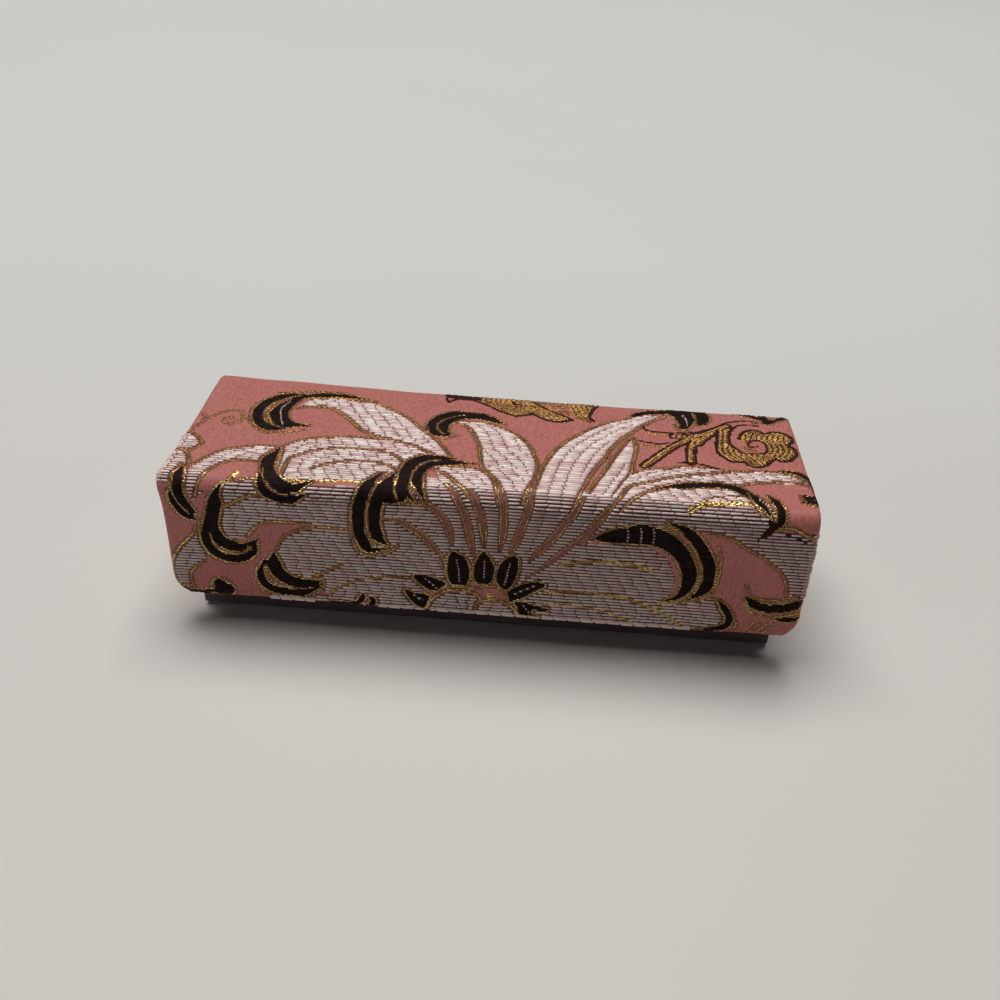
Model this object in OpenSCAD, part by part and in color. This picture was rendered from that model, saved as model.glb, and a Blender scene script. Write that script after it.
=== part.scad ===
// Lidded case for one lipstick: greyboard walls covered in brocade and lined with satin.
// The lid is an L, a top panel and a front flap, that turns on a cloth hinge along the back.
// X runs along the case, the flap faces -Y, the hinge is at +Y and the case stands on Z = 0.

/* [Case] */
// Length of the lid, end to end
lid_length = 90; // [70:1:140]
// Depth, from the face of the flap to the back
case_d = 29.8; // [27:0.2:45]
// Height of the closed case
case_h = 24.5; // [22:0.1:40]
// Height of the flap's lower edge above the table
flap_lift = 4.2; // [2:0.1:8]
// Radius of the fold between the top and the flap, outside the cloth
fold_r = 2.3; // [1.8:0.1:4]
// Radius of the flap's two lower corners
flap_corner_r = 3.5; // [2:0.5:8]
// How far the lid reaches past each end of the tray
end_overhang = 3; // [0.5:0.5:4]

/* [Boards and cloth] */
// Thickness of the brocade and of the satin
cloth_t = 0.4; // [0.2:0.05:0.6]
// Thickness of the board in the lid
lid_board_t = 1.2; // [1:0.1:1.6]
// Thickness of the boards in the tray
wall_t = 1.5; // [1:0.1:2.2]
// Thickness of the satin-covered lining cards
lining_t = 0.6; // [0.4:0.1:1]
// Height of the cloth turned up inside the flap's lower edge
flap_turn_in = 6.5; // [3:0.5:10]
// Depth of the cloth turned in over the tray's rim
rim_turn_in = 8; // [4:0.5:12]
// Bare border that the flap's lining leaves along the flap's edges
lining_border = 1.5; // [1:0.5:3]
// How far the lining cards stop below the tray's rim
lining_drop = 2; // [1.5:0.5:4]

/* [Play] */
// Play between the flap's lining and the front of the tray
flap_play = 0.4; // [0.2:0.1:1]
// Play between the lid and the tray's rim
rim_play = 0.15; // [0.1:0.05:0.3]
// Play round the mirror's frame in the mouth of the tray
frame_play = 0.9; // [0.5:0.1:1.5]
// Play round the mirror, in its frame and card
mirror_play = 0.1; // [0.05:0.05:0.3]
// Glue play round the magnets and the keepers
disc_play = 0.05; // [0.03:0.01:0.1]

/* [Mirror] */
// Thickness of the mirror
mirror_t = 1; // [0.8:0.1:1.2]
// Thickness of the mirror's frame
frame_t = 1; // [0.9:0.1:1.4]
// Width of the frame's rails
frame_rail = 3; // [2.5:0.1:5]
// How far the rails lap over the mirror
mirror_lap = 1.2; // [0.8:0.1:1.5]
// Width of the levelling card between the mirror and the turned-in cloth
card_border = 0.9; // [0.5:0.1:1.2]

/* [Catch] */
// Diameter of the magnets
magnet_d = 6; // [4:0.5:8]
// Thickness of the magnets
magnet_t = 0.8; // [0.5:0.1:0.9]
// Diameter of the steel keepers
keeper_d = 8; // [5:0.5:10]
// Thickness of the steel keepers
keeper_t = 0.5; // [0.3:0.1:0.8]
// Distance between the two catches
catch_spacing = 50; // [25:1:50]
// Height of the catches above the flap's lower edge
catch_rise = 6; // [5.5:0.5:9]

/* [Hinge] */
// Height of the brocade band that bends, below the lid
hinge_band_h = 3.5; // [2:0.5:6]
// Depth to which the hinge's lining is glued inside the back wall
hinge_grip = 5; // [3:0.5:8]
// Width of the hinge's lining that is glued under the lid, inside the back wall
hinge_reach = 3.6; // [3:0.1:5]
// Room in the folded lining between its two legs
hinge_fold_gap = 0.05; // [0.02:0.01:0.1]

/* [Hidden] */
$fn = 64;

// Colours, as the photograph and this kind of case show them
brocade_pink = [0.72, 0.45, 0.43];
satin_dark = [0.16, 0.11, 0.12];
board_grey = [0.58, 0.54, 0.47];
card_black = [0.13, 0.12, 0.12];
glass_silver = [0.80, 0.84, 0.86];
nickel = [0.75, 0.74, 0.71];
steel = [0.55, 0.56, 0.58];

// The lid's layers, from its outer faces inwards
front_face = -case_d / 2;
back_face = case_d / 2;
board_inset = cloth_t + lid_board_t;
lid_t = board_inset + cloth_t;
lid_under = case_h - lid_t;
flap_inner = front_face + lid_t;
flap_lined = flap_inner + lining_t;

// The tray's outline, its rim and the faces of its walls
tray_length = lid_length - 2 * end_overhang;
tray_front = flap_lined + flap_play;
rim_z = lid_under - rim_play;
board_top = rim_z - cloth_t;
floor_top = cloth_t + wall_t;
front_inner = tray_front + cloth_t + wall_t;
back_inner = back_face - cloth_t - wall_t;
end_inner = tray_length / 2 - cloth_t - wall_t;

// The mouth of the tray between its turned-in cloth, which the mirror's frame drops into
mouth_front = front_inner + cloth_t;
mouth_end = end_inner - cloth_t;
frame_front = mouth_front + frame_play;
frame_back = back_inner - hinge_reach;
frame_end = mouth_end - frame_play;

// The mirror lies inside the frame's edge, and the cloth is turned in up to its card
mirror_set = frame_rail - mirror_lap;
mirror_front = frame_front + mirror_set;
mirror_back = frame_back - mirror_set;
mirror_end = frame_end - mirror_set;
mirror_face = case_h - board_inset - mirror_t;
card_back = mirror_back + card_border;
card_end = mirror_end + card_border;

// The hinge's lining lies double between the back wall and the lid
hinge_lining_t = (cloth_t + rim_play - hinge_fold_gap) / 2;
back_lined = back_inner - hinge_lining_t;

// The lining cards stand on the floor's card and stop below the rim
lining_foot = floor_top + lining_t;
lining_top = rim_z - lining_drop;

catch_z = flap_lift + catch_rise;
past = 1;

// Flat shapes

// A rectangle between two points, with a radius for each corner:
// low-low, high-low, high-high, low-high
module panel(lo, hi, radii = [0, 0, 0, 0]) {
    corners = [lo, [hi.x, lo.y], hi, [lo.x, hi.y]];
    inward = [[1, 1], [-1, 1], [-1, -1], [1, -1]];
    difference() {
        translate(lo) square(hi - lo);
        for (i = [0:3]) {
            if (radii[i] > 0) translate(corners[i]) difference() {
                square(2 * radii[i], center = true);
                translate(radii[i] * inward[i]) circle(radii[i]);
            }
        }
    }
}

// Stands a flat shape of (y, z) up and draws it out along X, about the middle
module along_x(length) {
    translate([-length / 2, 0, 0]) rotate([90, 0, 90]) linear_extrude(length) children();
}

// Stands a flat shape of (x, z) up and draws it out along Y, between two faces
module along_y(front, back) {
    translate([0, back, 0]) rotate([90, 0, 0]) linear_extrude(back - front) children();
}

// Lays a flat shape of (x, y) down at a height
module at_height(z, thickness) {
    translate([0, 0, z]) linear_extrude(thickness) children();
}

// The lid's section: a layer of the folded L, that deep below its outer faces
module fold_layer(inset, thickness) {
    inner = inset + thickness;
    difference() {
        panel(
            [front_face + inset, flap_lift + inset],
            [back_face - inset, case_h - inset],
            [max(cloth_t - inset, 0), 0, max(cloth_t - inset, 0), fold_r - inset]
        );
        panel(
            [front_face + inner, flap_lift - past],
            [back_face + past, case_h - inner],
            [0, 0, 0, max(fold_r - inner, 0)]
        );
    }
}

// The lid seen from the front, with the flap's two round corners
module lid_front(inset, top) {
    corner_r = flap_corner_r - inset;
    panel(
        [-lid_length / 2 + inset, flap_lift + inset],
        [lid_length / 2 - inset, top],
        [corner_r, corner_r, 0, 0]
    );
}

// A layer of the whole lid: the L's section cut to the lid's outline
module lid_layer(inset, thickness) {
    intersection() {
        along_x(lid_length - 2 * inset) fold_layer(inset, thickness);
        along_y(front_face, back_face) lid_front(inset, case_h);
    }
}

// The space between the turned-in edges, on the inside of the board
module turn_in_window() {
    along_x(2 * card_end) intersection() {
        fold_layer(board_inset, cloth_t);
        panel([front_face, flap_lift + flap_turn_in], [card_back, case_h]);
    }
}

// The two catches, as discs from a face, drawn out along Y
module catch_discs(diameter, front, back) {
    for (side = [-1, 1]) {
        translate([side * catch_spacing / 2, 0, catch_z]) along_y(front, back) circle(d = diameter);
    }
}

// The lid

// One board bent to an L, with pockets for the magnets in the inside of the flap
module lid_shell() {
    color(board_grey) difference() {
        lid_layer(cloth_t, lid_board_t);
        catch_discs(magnet_d + 2 * disc_play, front_face + board_inset - magnet_t, flap_inner);
    }
}

// The cloth: over the top, round the fold and down the flap, over every edge, and turned in
module lid_brocade() {
    color(brocade_pink) difference() {
        lid_layer(0, lid_t);
        lid_layer(cloth_t, lid_board_t);
        turn_in_window();
    }
}

// Thin card, as thick as the cloth, that levels the inside and holds the mirror's place
module levelling_card() {
    color(card_black) difference() {
        turn_in_window();
        at_height(lid_under - past, lid_t + past) mirror_outline(mirror_play);
    }
}

// The mirror from above, with play all round it
module mirror_outline(play) {
    panel([-mirror_end - play, mirror_front - play], [mirror_end + play, mirror_back + play]);
}

module mirror_glass() {
    color(glass_silver) at_height(mirror_face, mirror_t) mirror_outline(0);
}

// Satin-covered frame, rebated for the mirror's edges
module mirror_frame() {
    color(satin_dark) difference() {
        at_height(lid_under - frame_t, frame_t)
            panel([-frame_end, frame_front], [frame_end, frame_back]);
        at_height(lid_under - frame_t - past, frame_t + 2 * past)
            panel(
                [-frame_end + frame_rail, frame_front + frame_rail],
                [frame_end - frame_rail, frame_back - frame_rail]
            );
        at_height(mirror_face, mirror_t) mirror_outline(mirror_play);
    }
}

module flap_lining() {
    inner_fold_r = max(fold_r - lid_t, 0);
    color(satin_dark) along_y(flap_inner, flap_lined)
        lid_front(lining_border, lid_under - inner_fold_r);
}

module flap_magnets() {
    color(nickel)
        catch_discs(magnet_d, front_face + board_inset - magnet_t, front_face + board_inset);
}

// The cloth hinge

// The band of the case's brocade that bends, between the back wall's cloth and the lid's
module hinge_brocade() {
    color(brocade_pink) along_x(tray_length)
        panel([back_face - cloth_t, board_top - hinge_band_h], [back_face, lid_under]);
}

// Satin strip: up inside the back wall, over its edge, folded back and on under the lid
module hinge_lining() {
    fold_y = back_face - cloth_t;
    color(satin_dark) along_x(2 * mouth_end) union() {
        panel([back_lined, board_top - hinge_grip], [back_inner, board_top + hinge_lining_t]);
        panel([back_lined, board_top], [fold_y, board_top + hinge_lining_t]);
        panel([fold_y - hinge_lining_t, board_top], [fold_y, lid_under]);
        panel([frame_back, lid_under - hinge_lining_t], [fold_y, lid_under]);
    }
}

// The tray's boards: the walls stand on the bottom, the ends between the front and the back

module bottom_board() {
    color(board_grey) at_height(cloth_t, wall_t)
        panel(
            [-tray_length / 2 + cloth_t, tray_front + cloth_t],
            [tray_length / 2 - cloth_t, back_face - cloth_t]
        );
}

module back_board() {
    color(board_grey) along_x(tray_length - 2 * cloth_t)
        panel([back_inner, floor_top], [back_face - cloth_t, board_top]);
}

// With pockets for the keepers in its outer face
module front_board() {
    outer = tray_front + cloth_t;
    color(board_grey) difference() {
        along_x(tray_length - 2 * cloth_t) panel([outer, floor_top], [front_inner, board_top]);
        catch_discs(keeper_d + 2 * disc_play, outer - past, outer + keeper_t);
    }
}

module end_board() {
    color(board_grey) along_y(front_inner, back_inner)
        panel([end_inner, floor_top], [end_inner + wall_t, board_top]);
}

module left_board() {
    mirror([1, 0, 0]) end_board();
}

module right_board() {
    end_board();
}

module keeper_plates() {
    outer = tray_front + cloth_t;
    color(steel) catch_discs(keeper_d, outer, outer + keeper_t);
}

// The tray's outer cloth

module back_brocade() {
    color(brocade_pink) along_x(tray_length)
        panel([back_face - cloth_t, cloth_t], [back_face, board_top - hinge_band_h]);
}

module bottom_brocade() {
    color(brocade_pink) at_height(0, cloth_t)
        panel([-tray_length / 2, tray_front], [tray_length / 2, back_face]);
}

// Up the outside of an end, over the rim and down inside
module end_brocade() {
    outer = tray_length / 2;
    turned = rim_z - rim_turn_in;
    color(brocade_pink) {
        along_y(tray_front + cloth_t, back_face - cloth_t)
            panel([outer - cloth_t, cloth_t], [outer, rim_z], [0, 0, cloth_t, 0]);
        along_y(front_inner, back_inner) difference() {
            panel([mouth_end, turned], [outer - cloth_t, rim_z], [0, 0, 0, cloth_t]);
            panel([end_inner, turned - past], [outer - cloth_t + past, board_top]);
        }
    }
}

module left_brocade() {
    mirror([1, 0, 0]) end_brocade();
}

module right_brocade() {
    end_brocade();
}

// Dark satin on the front wall: its foot shows under the flap
module front_satin() {
    turned = rim_z - rim_turn_in;
    board_face = tray_front + cloth_t;
    color(satin_dark) {
        along_x(tray_length) panel([tray_front, cloth_t], [board_face, rim_z], [0, 0, 0, cloth_t]);
        along_x(tray_length - 2 * cloth_t)
            panel([board_face, board_top], [front_inner, rim_z]);
        along_x(2 * mouth_end)
            panel([front_inner, turned], [mouth_front, rim_z], [0, 0, cloth_t, 0]);
    }
}

// The tray's lining: five satin-covered cards

module floor_lining() {
    color(satin_dark) at_height(floor_top, lining_t)
        panel([-end_inner, front_inner], [end_inner, back_inner]);
}

module front_lining() {
    color(satin_dark) along_x(2 * mouth_end)
        panel([mouth_front, lining_foot], [mouth_front + lining_t, lining_top]);
}

module back_lining() {
    color(satin_dark) along_x(2 * mouth_end)
        panel([back_lined - lining_t, lining_foot], [back_lined, lining_top]);
}

module end_lining() {
    color(satin_dark) along_y(mouth_front + lining_t, back_lined - lining_t)
        panel([mouth_end - lining_t, lining_foot], [mouth_end, lining_top]);
}

module left_lining() {
    mirror([1, 0, 0]) end_lining();
}

module right_lining() {
    end_lining();
}

lid_shell();
lid_brocade();
levelling_card();
mirror_glass();
mirror_frame();
flap_lining();
flap_magnets();
hinge_brocade();
hinge_lining();
bottom_board();
back_board();
front_board();
left_board();
right_board();
back_brocade();
bottom_brocade();
left_brocade();
right_brocade();
front_satin();
floor_lining();
front_lining();
back_lining();
left_lining();
right_lining();
keeper_plates();
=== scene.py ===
import math

import bpy
import numpy as np
from mathutils import Euler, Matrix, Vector


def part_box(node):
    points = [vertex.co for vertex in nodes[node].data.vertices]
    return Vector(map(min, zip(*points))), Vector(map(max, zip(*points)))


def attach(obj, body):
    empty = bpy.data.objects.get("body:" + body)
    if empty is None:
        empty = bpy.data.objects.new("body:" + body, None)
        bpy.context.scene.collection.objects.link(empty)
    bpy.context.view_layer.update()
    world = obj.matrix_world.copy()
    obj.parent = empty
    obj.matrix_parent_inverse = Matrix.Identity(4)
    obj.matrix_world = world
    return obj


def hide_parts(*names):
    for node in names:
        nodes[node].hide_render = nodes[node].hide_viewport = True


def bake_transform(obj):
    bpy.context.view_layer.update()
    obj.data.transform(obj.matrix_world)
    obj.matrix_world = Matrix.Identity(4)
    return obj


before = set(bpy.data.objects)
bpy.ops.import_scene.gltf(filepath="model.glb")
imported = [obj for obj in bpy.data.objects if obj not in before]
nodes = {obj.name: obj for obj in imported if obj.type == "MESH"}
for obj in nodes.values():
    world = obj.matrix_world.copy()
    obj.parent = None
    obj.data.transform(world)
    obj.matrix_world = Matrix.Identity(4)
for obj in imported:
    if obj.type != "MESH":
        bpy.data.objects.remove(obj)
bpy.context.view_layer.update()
MM = 0.001


# Greyboard, the stiff core of every panel. It is pressed from waste paper, so it is matt,
# flecked and slightly fibrous. The tray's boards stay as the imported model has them.
class Value:
    """A socket's output, with arithmetic that adds Math nodes."""

    def __init__(self, finish, socket):
        self.finish = finish
        self.socket = socket

    def _math(self, operation, *numbers, clamp=False):
        settings = {"operation": operation, "use_clamp": clamp}
        return self.finish.node("Math", settings, dict(enumerate(numbers)))

    def __add__(self, other):
        return self._math("ADD", self, other)

    def __radd__(self, other):
        return self._math("ADD", other, self)

    def __sub__(self, other):
        return self._math("SUBTRACT", self, other)

    def __rsub__(self, other):
        return self._math("SUBTRACT", other, self)

    def __mul__(self, other):
        return self._math("MULTIPLY", self, other)

    def __rmul__(self, other):
        return self._math("MULTIPLY", other, self)

    def clipped(self):
        """The value held between 0 and 1."""
        return self._math("ADD", self, 0.0, clamp=True)


class Finish:
    """A material, with one method that adds any node."""

    def __init__(self, name):
        self.material = bpy.data.materials.new(name)
        self.material.use_nodes = True
        self.tree = self.material.node_tree
        self.shader = self.tree.nodes["Principled BSDF"]

    def node(self, kind, settings, sockets, output=0):
        made = self.tree.nodes.new("ShaderNode" + kind)
        for name, setting in settings.items():
            setattr(made, name, setting)
        for key, source in sockets.items():
            self.join(source, made.inputs[key])
        return Value(self, made.outputs[output])

    def join(self, source, socket):
        if isinstance(source, Value):
            self.tree.links.new(source.socket, socket)
        else:
            socket.default_value = source

    def set(self, **sockets):
        for name, source in sockets.items():
            self.join(source, self.shader.inputs[name.replace("_", " ")])

    def place(self):
        """A point of the piece, in metres."""
        return self.node("TexCoord", {}, {}, "Object")

    def noise(self, per_metre, detail):
        """Cloudy noise, with its number of changes to the metre along each axis."""
        point = self.node("VectorMath", {"operation": "MULTIPLY"}, {0: self.place(), 1: per_metre})
        return self.node("TexNoise", {}, {"Vector": point, "Scale": 1.0, "Detail": detail})

    def mix(self, share, first, second):
        return self.node("Mix", {"data_type": "RGBA"}, {0: share, 6: first, 7: second}, 2)

    def bump(self, height, depth):
        return self.node("Bump", {}, {"Strength": 1.0, "Distance": depth, "Height": height})


def screen(red, green, blue):
    """A colour given as a screen shows it, from 0 to 255."""
    shares = [channel / 255 for channel in (red, green, blue)]
    light = [s / 12.92 if s <= 0.04045 else ((s + 0.055) / 1.055) ** 2.4 for s in shares]
    return (*light, 1.0)


def dress(finish, *names):
    """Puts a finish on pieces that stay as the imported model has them."""
    for name in names:
        for slot in nodes[name].material_slots:
            slot.material = finish.material


greyboard = Finish("greyboard")
flecks = greyboard.noise((1800.0, 1800.0, 1800.0), 4.0)
fibres = greyboard.noise((300.0, 2600.0, 2600.0), 3.0)
greyboard.set(
    Base_Color=greyboard.mix(
        (flecks * 1.6 - 0.3).clipped(), screen(146, 135, 118), screen(186, 176, 158)
    ),
    Roughness=fibres * 0.2 + 0.75,
    Normal=greyboard.bump(fibres, 0.00008),
)
dress(greyboard, "bottom_board", "back_board", "front_board", "left_board", "right_board")


# The lid's brocade, one piece drawn over the bent board, round every edge and turned in.
# It is a pink silk satin, figured by floats of pale and black silk and of gilt thread.
# First the weaver's point paper, which says what yarn lies on the face of each weft.
WEFT = 0.26
STEP = 0.1
PIECES = 6
TINY = 1e-9

# The last two marks are ground, not yarn: ground inside a figure, darkened as painted shade between
# raised floats, and a browner ground beside gilt and black that is partly painted shade of the raised
# gilt
GROUND, PALE, BLACK, GOLD, MAROON, TAN, SHADED_GROUND, BROWN_SHADE = range(8)

# How wide the lines are drawn: gilt takes up a share of its line, and a thin gilt line has
# brown ground on both sides, partly painted shade of the raised gilt. A black band spreads a little and
# runs out to points.
RIM = 0.52
WIDEST_RIM = 0.55
BROWN_SHADE_EDGE = 0.3
GILT_SHARE = 0.65
FINEST_HALF = 0.09
NEAR_WEFT = 0.42 * WEFT
BLACK_GROWS = 1.05
BLACK_EDGE = 0.2
POINTED_TIPS = (0.06, 0.06)
POINTED_TAPER = 5.0

# In wefts and steps: the gaps that black fills, the gilt rim of its ends and the brown round that,
# partly painted shade
FILLED_GAP = (1, 3)
LONG_RIM = (0, 4)
BROWN_SHADE_ROUND = (0, 2)


def smooth(points, closed=False):
    """A smooth line through a few points."""
    p = np.array(points, float)
    if len(p) < 3:
        return np.linspace(p[0], p[-1], PIECES + 1)
    if closed:
        p = np.vstack([p[-1], p, p[:2]])
    else:
        p = np.vstack([2 * p[0] - p[1], p, 2 * p[-1] - p[-2]])
    t = np.arange(PIECES)[:, None] / PIECES
    spans = []
    for a, b, c, d in zip(p[:-3], p[1:-2], p[2:-1], p[3:]):
        line = 2 * b + (c - a) * t + (2 * a - 5 * b + 4 * c - d) * t**2
        spans.append((line + (3 * b - a - 3 * c + d) * t**3) / 2)
    if not closed:
        spans.append(p[-2:-1])
    return np.vstack(spans)


def spread(cells, rows, columns):
    """Marked cells, with their neighbours up to some rows and columns away."""
    for axis, reach in ((0, rows), (1, columns)):
        grown = cells.copy()
        for step in range(1, reach + 1):
            for shift in (-step, step):
                grown |= np.roll(cells, shift, axis)
        cells = grown
    return cells


class Draft:
    """Point paper: a row for each weft and a column for each short step along it."""

    def __init__(self, left, back, right, front):
        self.left = left
        self.first_row = math.floor(back / WEFT)
        rows = math.ceil(front / WEFT) - self.first_row
        self.u = left + (np.arange(round((right - left) / STEP)) + 0.5) * STEP
        self.v = (self.first_row + np.arange(rows) + 0.5) * WEFT
        self.yarn = np.full((rows, len(self.u)), GROUND, np.int8)

    def at(self, u, v):
        """The yarn at a place of the cloth."""
        column = np.clip(((np.asarray(u) - self.left) / STEP).astype(int), 0, len(self.u) - 1)
        row = np.floor(np.asarray(v) / WEFT).astype(int) - self.first_row
        return self.yarn[np.clip(row, 0, len(self.v) - 1), column]

    def fill(self, yarn, outline):
        """Fills an outline of straight sides."""
        x, y = np.array(outline, float).T
        x2, y2 = np.roll(x, -1), np.roll(y, -1)
        for row, v in enumerate(self.v):
            cut = (y <= v) != (y2 <= v)
            if not cut.any():
                continue
            ends = np.sort(x[cut] + (v - y[cut]) * (x2[cut] - x[cut]) / (y2[cut] - y[cut]))
            for start, stop in zip(ends[::2], ends[1::2]):
                self.yarn[row, (self.u >= start) & (self.u < stop)] = yarn

    def shape(self, yarn, outline):
        """Fills a smooth outline."""
        self.fill(yarn, smooth(outline, closed=True))

    def line(self, yarn, width, path, tips=(1.0, 1.0), taper=3.0):
        """A band along a path. Tips are the shares of its width at its two ends."""
        points = smooth(path)
        share = np.linspace(0, 1, len(points))
        swell = np.minimum(1, taper * share + tips[0]) * np.minimum(1, taper * (1 - share) + tips[1])
        if yarn == GOLD:
            # A thin gilt line first gets browner ground on both sides, partly painted shade of the
            # raised gilt
            if width <= WIDEST_RIM:
                self.line(BROWN_SHADE, width + BROWN_SHADE_EDGE, path, tips, taper)
            width = width * GILT_SHARE
        half = np.maximum(width / 2 * swell, FINEST_HALF)
        for (x1, y1), (x2, y2), h1, h2 in zip(points, points[1:], half, half[1:]):
            reach = max(h1, h2, WEFT / 2)
            near_u = np.flatnonzero((self.u > min(x1, x2) - reach) & (self.u < max(x1, x2) + reach))
            near_v = np.flatnonzero((self.v > min(y1, y2) - reach) & (self.v < max(y1, y2) + reach))
            if not len(near_u) or not len(near_v):
                continue
            du = self.u[near_u][None, :] - x1
            dv = self.v[near_v][:, None] - y1
            run = max((x2 - x1) ** 2 + (y2 - y1) ** 2, TINY)
            t = np.clip((du * (x2 - x1) + dv * (y2 - y1)) / run, 0, 1)
            off = np.hypot(du - t * (x2 - x1), dv - t * (y2 - y1))
            inside = off < np.maximum(h1 + (h2 - h1) * t, NEAR_WEFT)
            block = self.yarn[near_v[0] : near_v[-1] + 1, near_u[0] : near_u[-1] + 1]
            if yarn == BROWN_SHADE:
                inside &= block != BLACK
            block[inside] = yarn

    def lines(self, yarn, *bands):
        """Bands of one yarn, each given as its width and its path."""
        for width, path in bands:
            self.line(yarn, width, path)

    def crescents(self, *bands):
        """Black bands that run out to points, each given as its width and its path."""
        for width, path in bands:
            spread_width = BLACK_GROWS * width + BLACK_EDGE
            self.line(BLACK, spread_width, path, POINTED_TIPS, POINTED_TAPER)

    def petal(self, one_edge, other_edge):
        """A pale petal between two edges, with a gilt line on both."""
        self.fill(PALE, np.vstack([smooth(one_edge), smooth(other_edge)[::-1]]))
        self.line(GOLD, RIM, one_edge)
        self.line(GOLD, RIM, other_edge)

    def lobe(self, edge, closing):
        """A pale area with a gilt line along one smooth edge, closed by straight sides."""
        self.fill(PALE, np.vstack([smooth(edge), closing]))
        self.line(GOLD, RIM, edge)

    def outline_dark(self):
        """A gilt thread lies all round the black figures, and black fills their narrow gaps."""
        black = self.yarn == BLACK
        whole = ~spread(~spread(black, *FILLED_GAP), *FILLED_GAP)
        self.yarn[whole & (self.yarn == GROUND)] = BLACK
        odd = (np.arange(len(self.v)) + self.first_row)[:, None] % 2 == 1
        rim = (spread(black, 1, 1) | spread(black, *LONG_RIM) & ~odd) & ~whole
        # Round the gilt rim lies a browner ground, partly painted shade of the raised gilt
        around = spread(rim | whole, *BROWN_SHADE_ROUND) & ~rim & ~whole
        self.yarn[around & np.isin(self.yarn, (GROUND, PALE))] = BROWN_SHADE
        self.yarn[rim & np.isin(self.yarn, (GROUND, PALE, TAN, SHADED_GROUND, BROWN_SHADE))] = GOLD

    def runs(self):
        """Each stretch of one yarn along a weft: yarn, the weft's place, and its two ends."""
        for v, row in zip(self.v, self.yarn):
            cuts = np.flatnonzero(np.diff(row)) + 1
            for start, stop in zip([0, *cuts], [*cuts, len(row)]):
                if row[start] not in (GROUND, SHADED_GROUND, BROWN_SHADE):
                    yield row[start], v, self.left + start * STEP, self.left + stop * STEP


lid_lo, lid_hi = [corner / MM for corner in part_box("lid_brocade")]
HALF_L = lid_hi.x
BACK_Y = lid_hi.y
FRONT_Y = lid_lo.y
TOP_Z = lid_hi.z
FOLD_R = 2.3
FOLD_START = BACK_Y - FRONT_Y - FOLD_R
HEM = FOLD_START + math.pi / 2 * FOLD_R + TOP_Z - FOLD_R - lid_lo.z
ALLOWANCE = 8.5
lid_draft = Draft(-HALF_L - ALLOWANCE, -ALLOWANCE, HALF_L + ALLOWANCE, HEM + ALLOWANCE)

# The pattern as it was drawn for the lid, read in the flat cloth. u runs along the case from its
# middle, and v from the back edge over the top and the fold to the flap's hem.
# The long petals of the top come first, from the ones behind to the ones in front.
for one_edge, other_edge in (
    (
        [(-29, 5.5), (-27.5, 5), (-25, 4.9), (-22, 5), (-19, 5.4), (-17, 6.5), (-15, 7.9), (-13, 9.7),
         (-11.5, 11.5), (-10, 13.3), (-8.5, 15), (-7, 17.3), (-5.3, 20.2)],
        [(-30.5, 8.7), (-29, 8), (-27, 7.8), (-25.5, 8), (-24, 9), (-22.5, 10.5), (-21, 12.3),
         (-19.5, 14), (-17.3, 15.3), (-14, 17), (-10, 19), (-8.2, 20)],
    ),
    (
        [(-6.5, 9.7), (-5, 10.2), (-4, 11.3), (-3.2, 12.8), (-2.6, 14.5), (-2, 16.5), (-1.7, 18.5),
         (-1.4, 20.3), (-1.1, 22), (-0.2, 23.5), (0.8, 24.8), (1.5, 26), (2, 28), (2.3, 30)],
        [(-5, 9), (-3, 8.9), (-1.5, 9.1), (0, 9.7), (1.5, 10.6), (3, 11.7), (4, 13), (5, 14.7),
         (5.7, 16.3), (6.2, 18), (6.6, 19.5), (6.8, 21), (6.6, 24), (5.7, 27.5), (5.2, 30)],
    ),
    (
        [(21, 3.2), (19, 4.7), (17.5, 5.5), (16, 6.7), (14.7, 8), (13.5, 9.2), (12.5, 10.5), (11.3, 12),
         (10.3, 13.5), (9.5, 15), (8.7, 16.8), (8.2, 18.5), (7.7, 20), (7.2, 22.5), (6.8, 25),
         (6.3, 27.5), (6.1, 30)],
        [(25.5, 2.8), (23.3, 5), (22, 6.5), (21, 8), (19.8, 9.8), (18.7, 11.5), (17.8, 13.3), (17, 15),
         (16.5, 17), (15.8, 18.7), (15, 20.5), (14.3, 22.5), (13.7, 24.5), (13, 27), (12.5, 29),
         (12, 30.5)],
    ),
    (
        [(20, 11), (19, 13), (18.2, 15), (17.3, 17.5), (16.5, 20), (15.8, 22), (15, 24), (14.3, 26),
         (13.7, 27.5), (13, 30)],
        [(20.5, 10.5), (20.8, 13), (20.7, 15.5), (20.3, 18), (20, 20.5), (19.4, 22.5), (18.5, 24.5),
         (17.3, 28), (16.5, 29.5)],
    ),
):
    lid_draft.petal(one_edge, other_edge)

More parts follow.
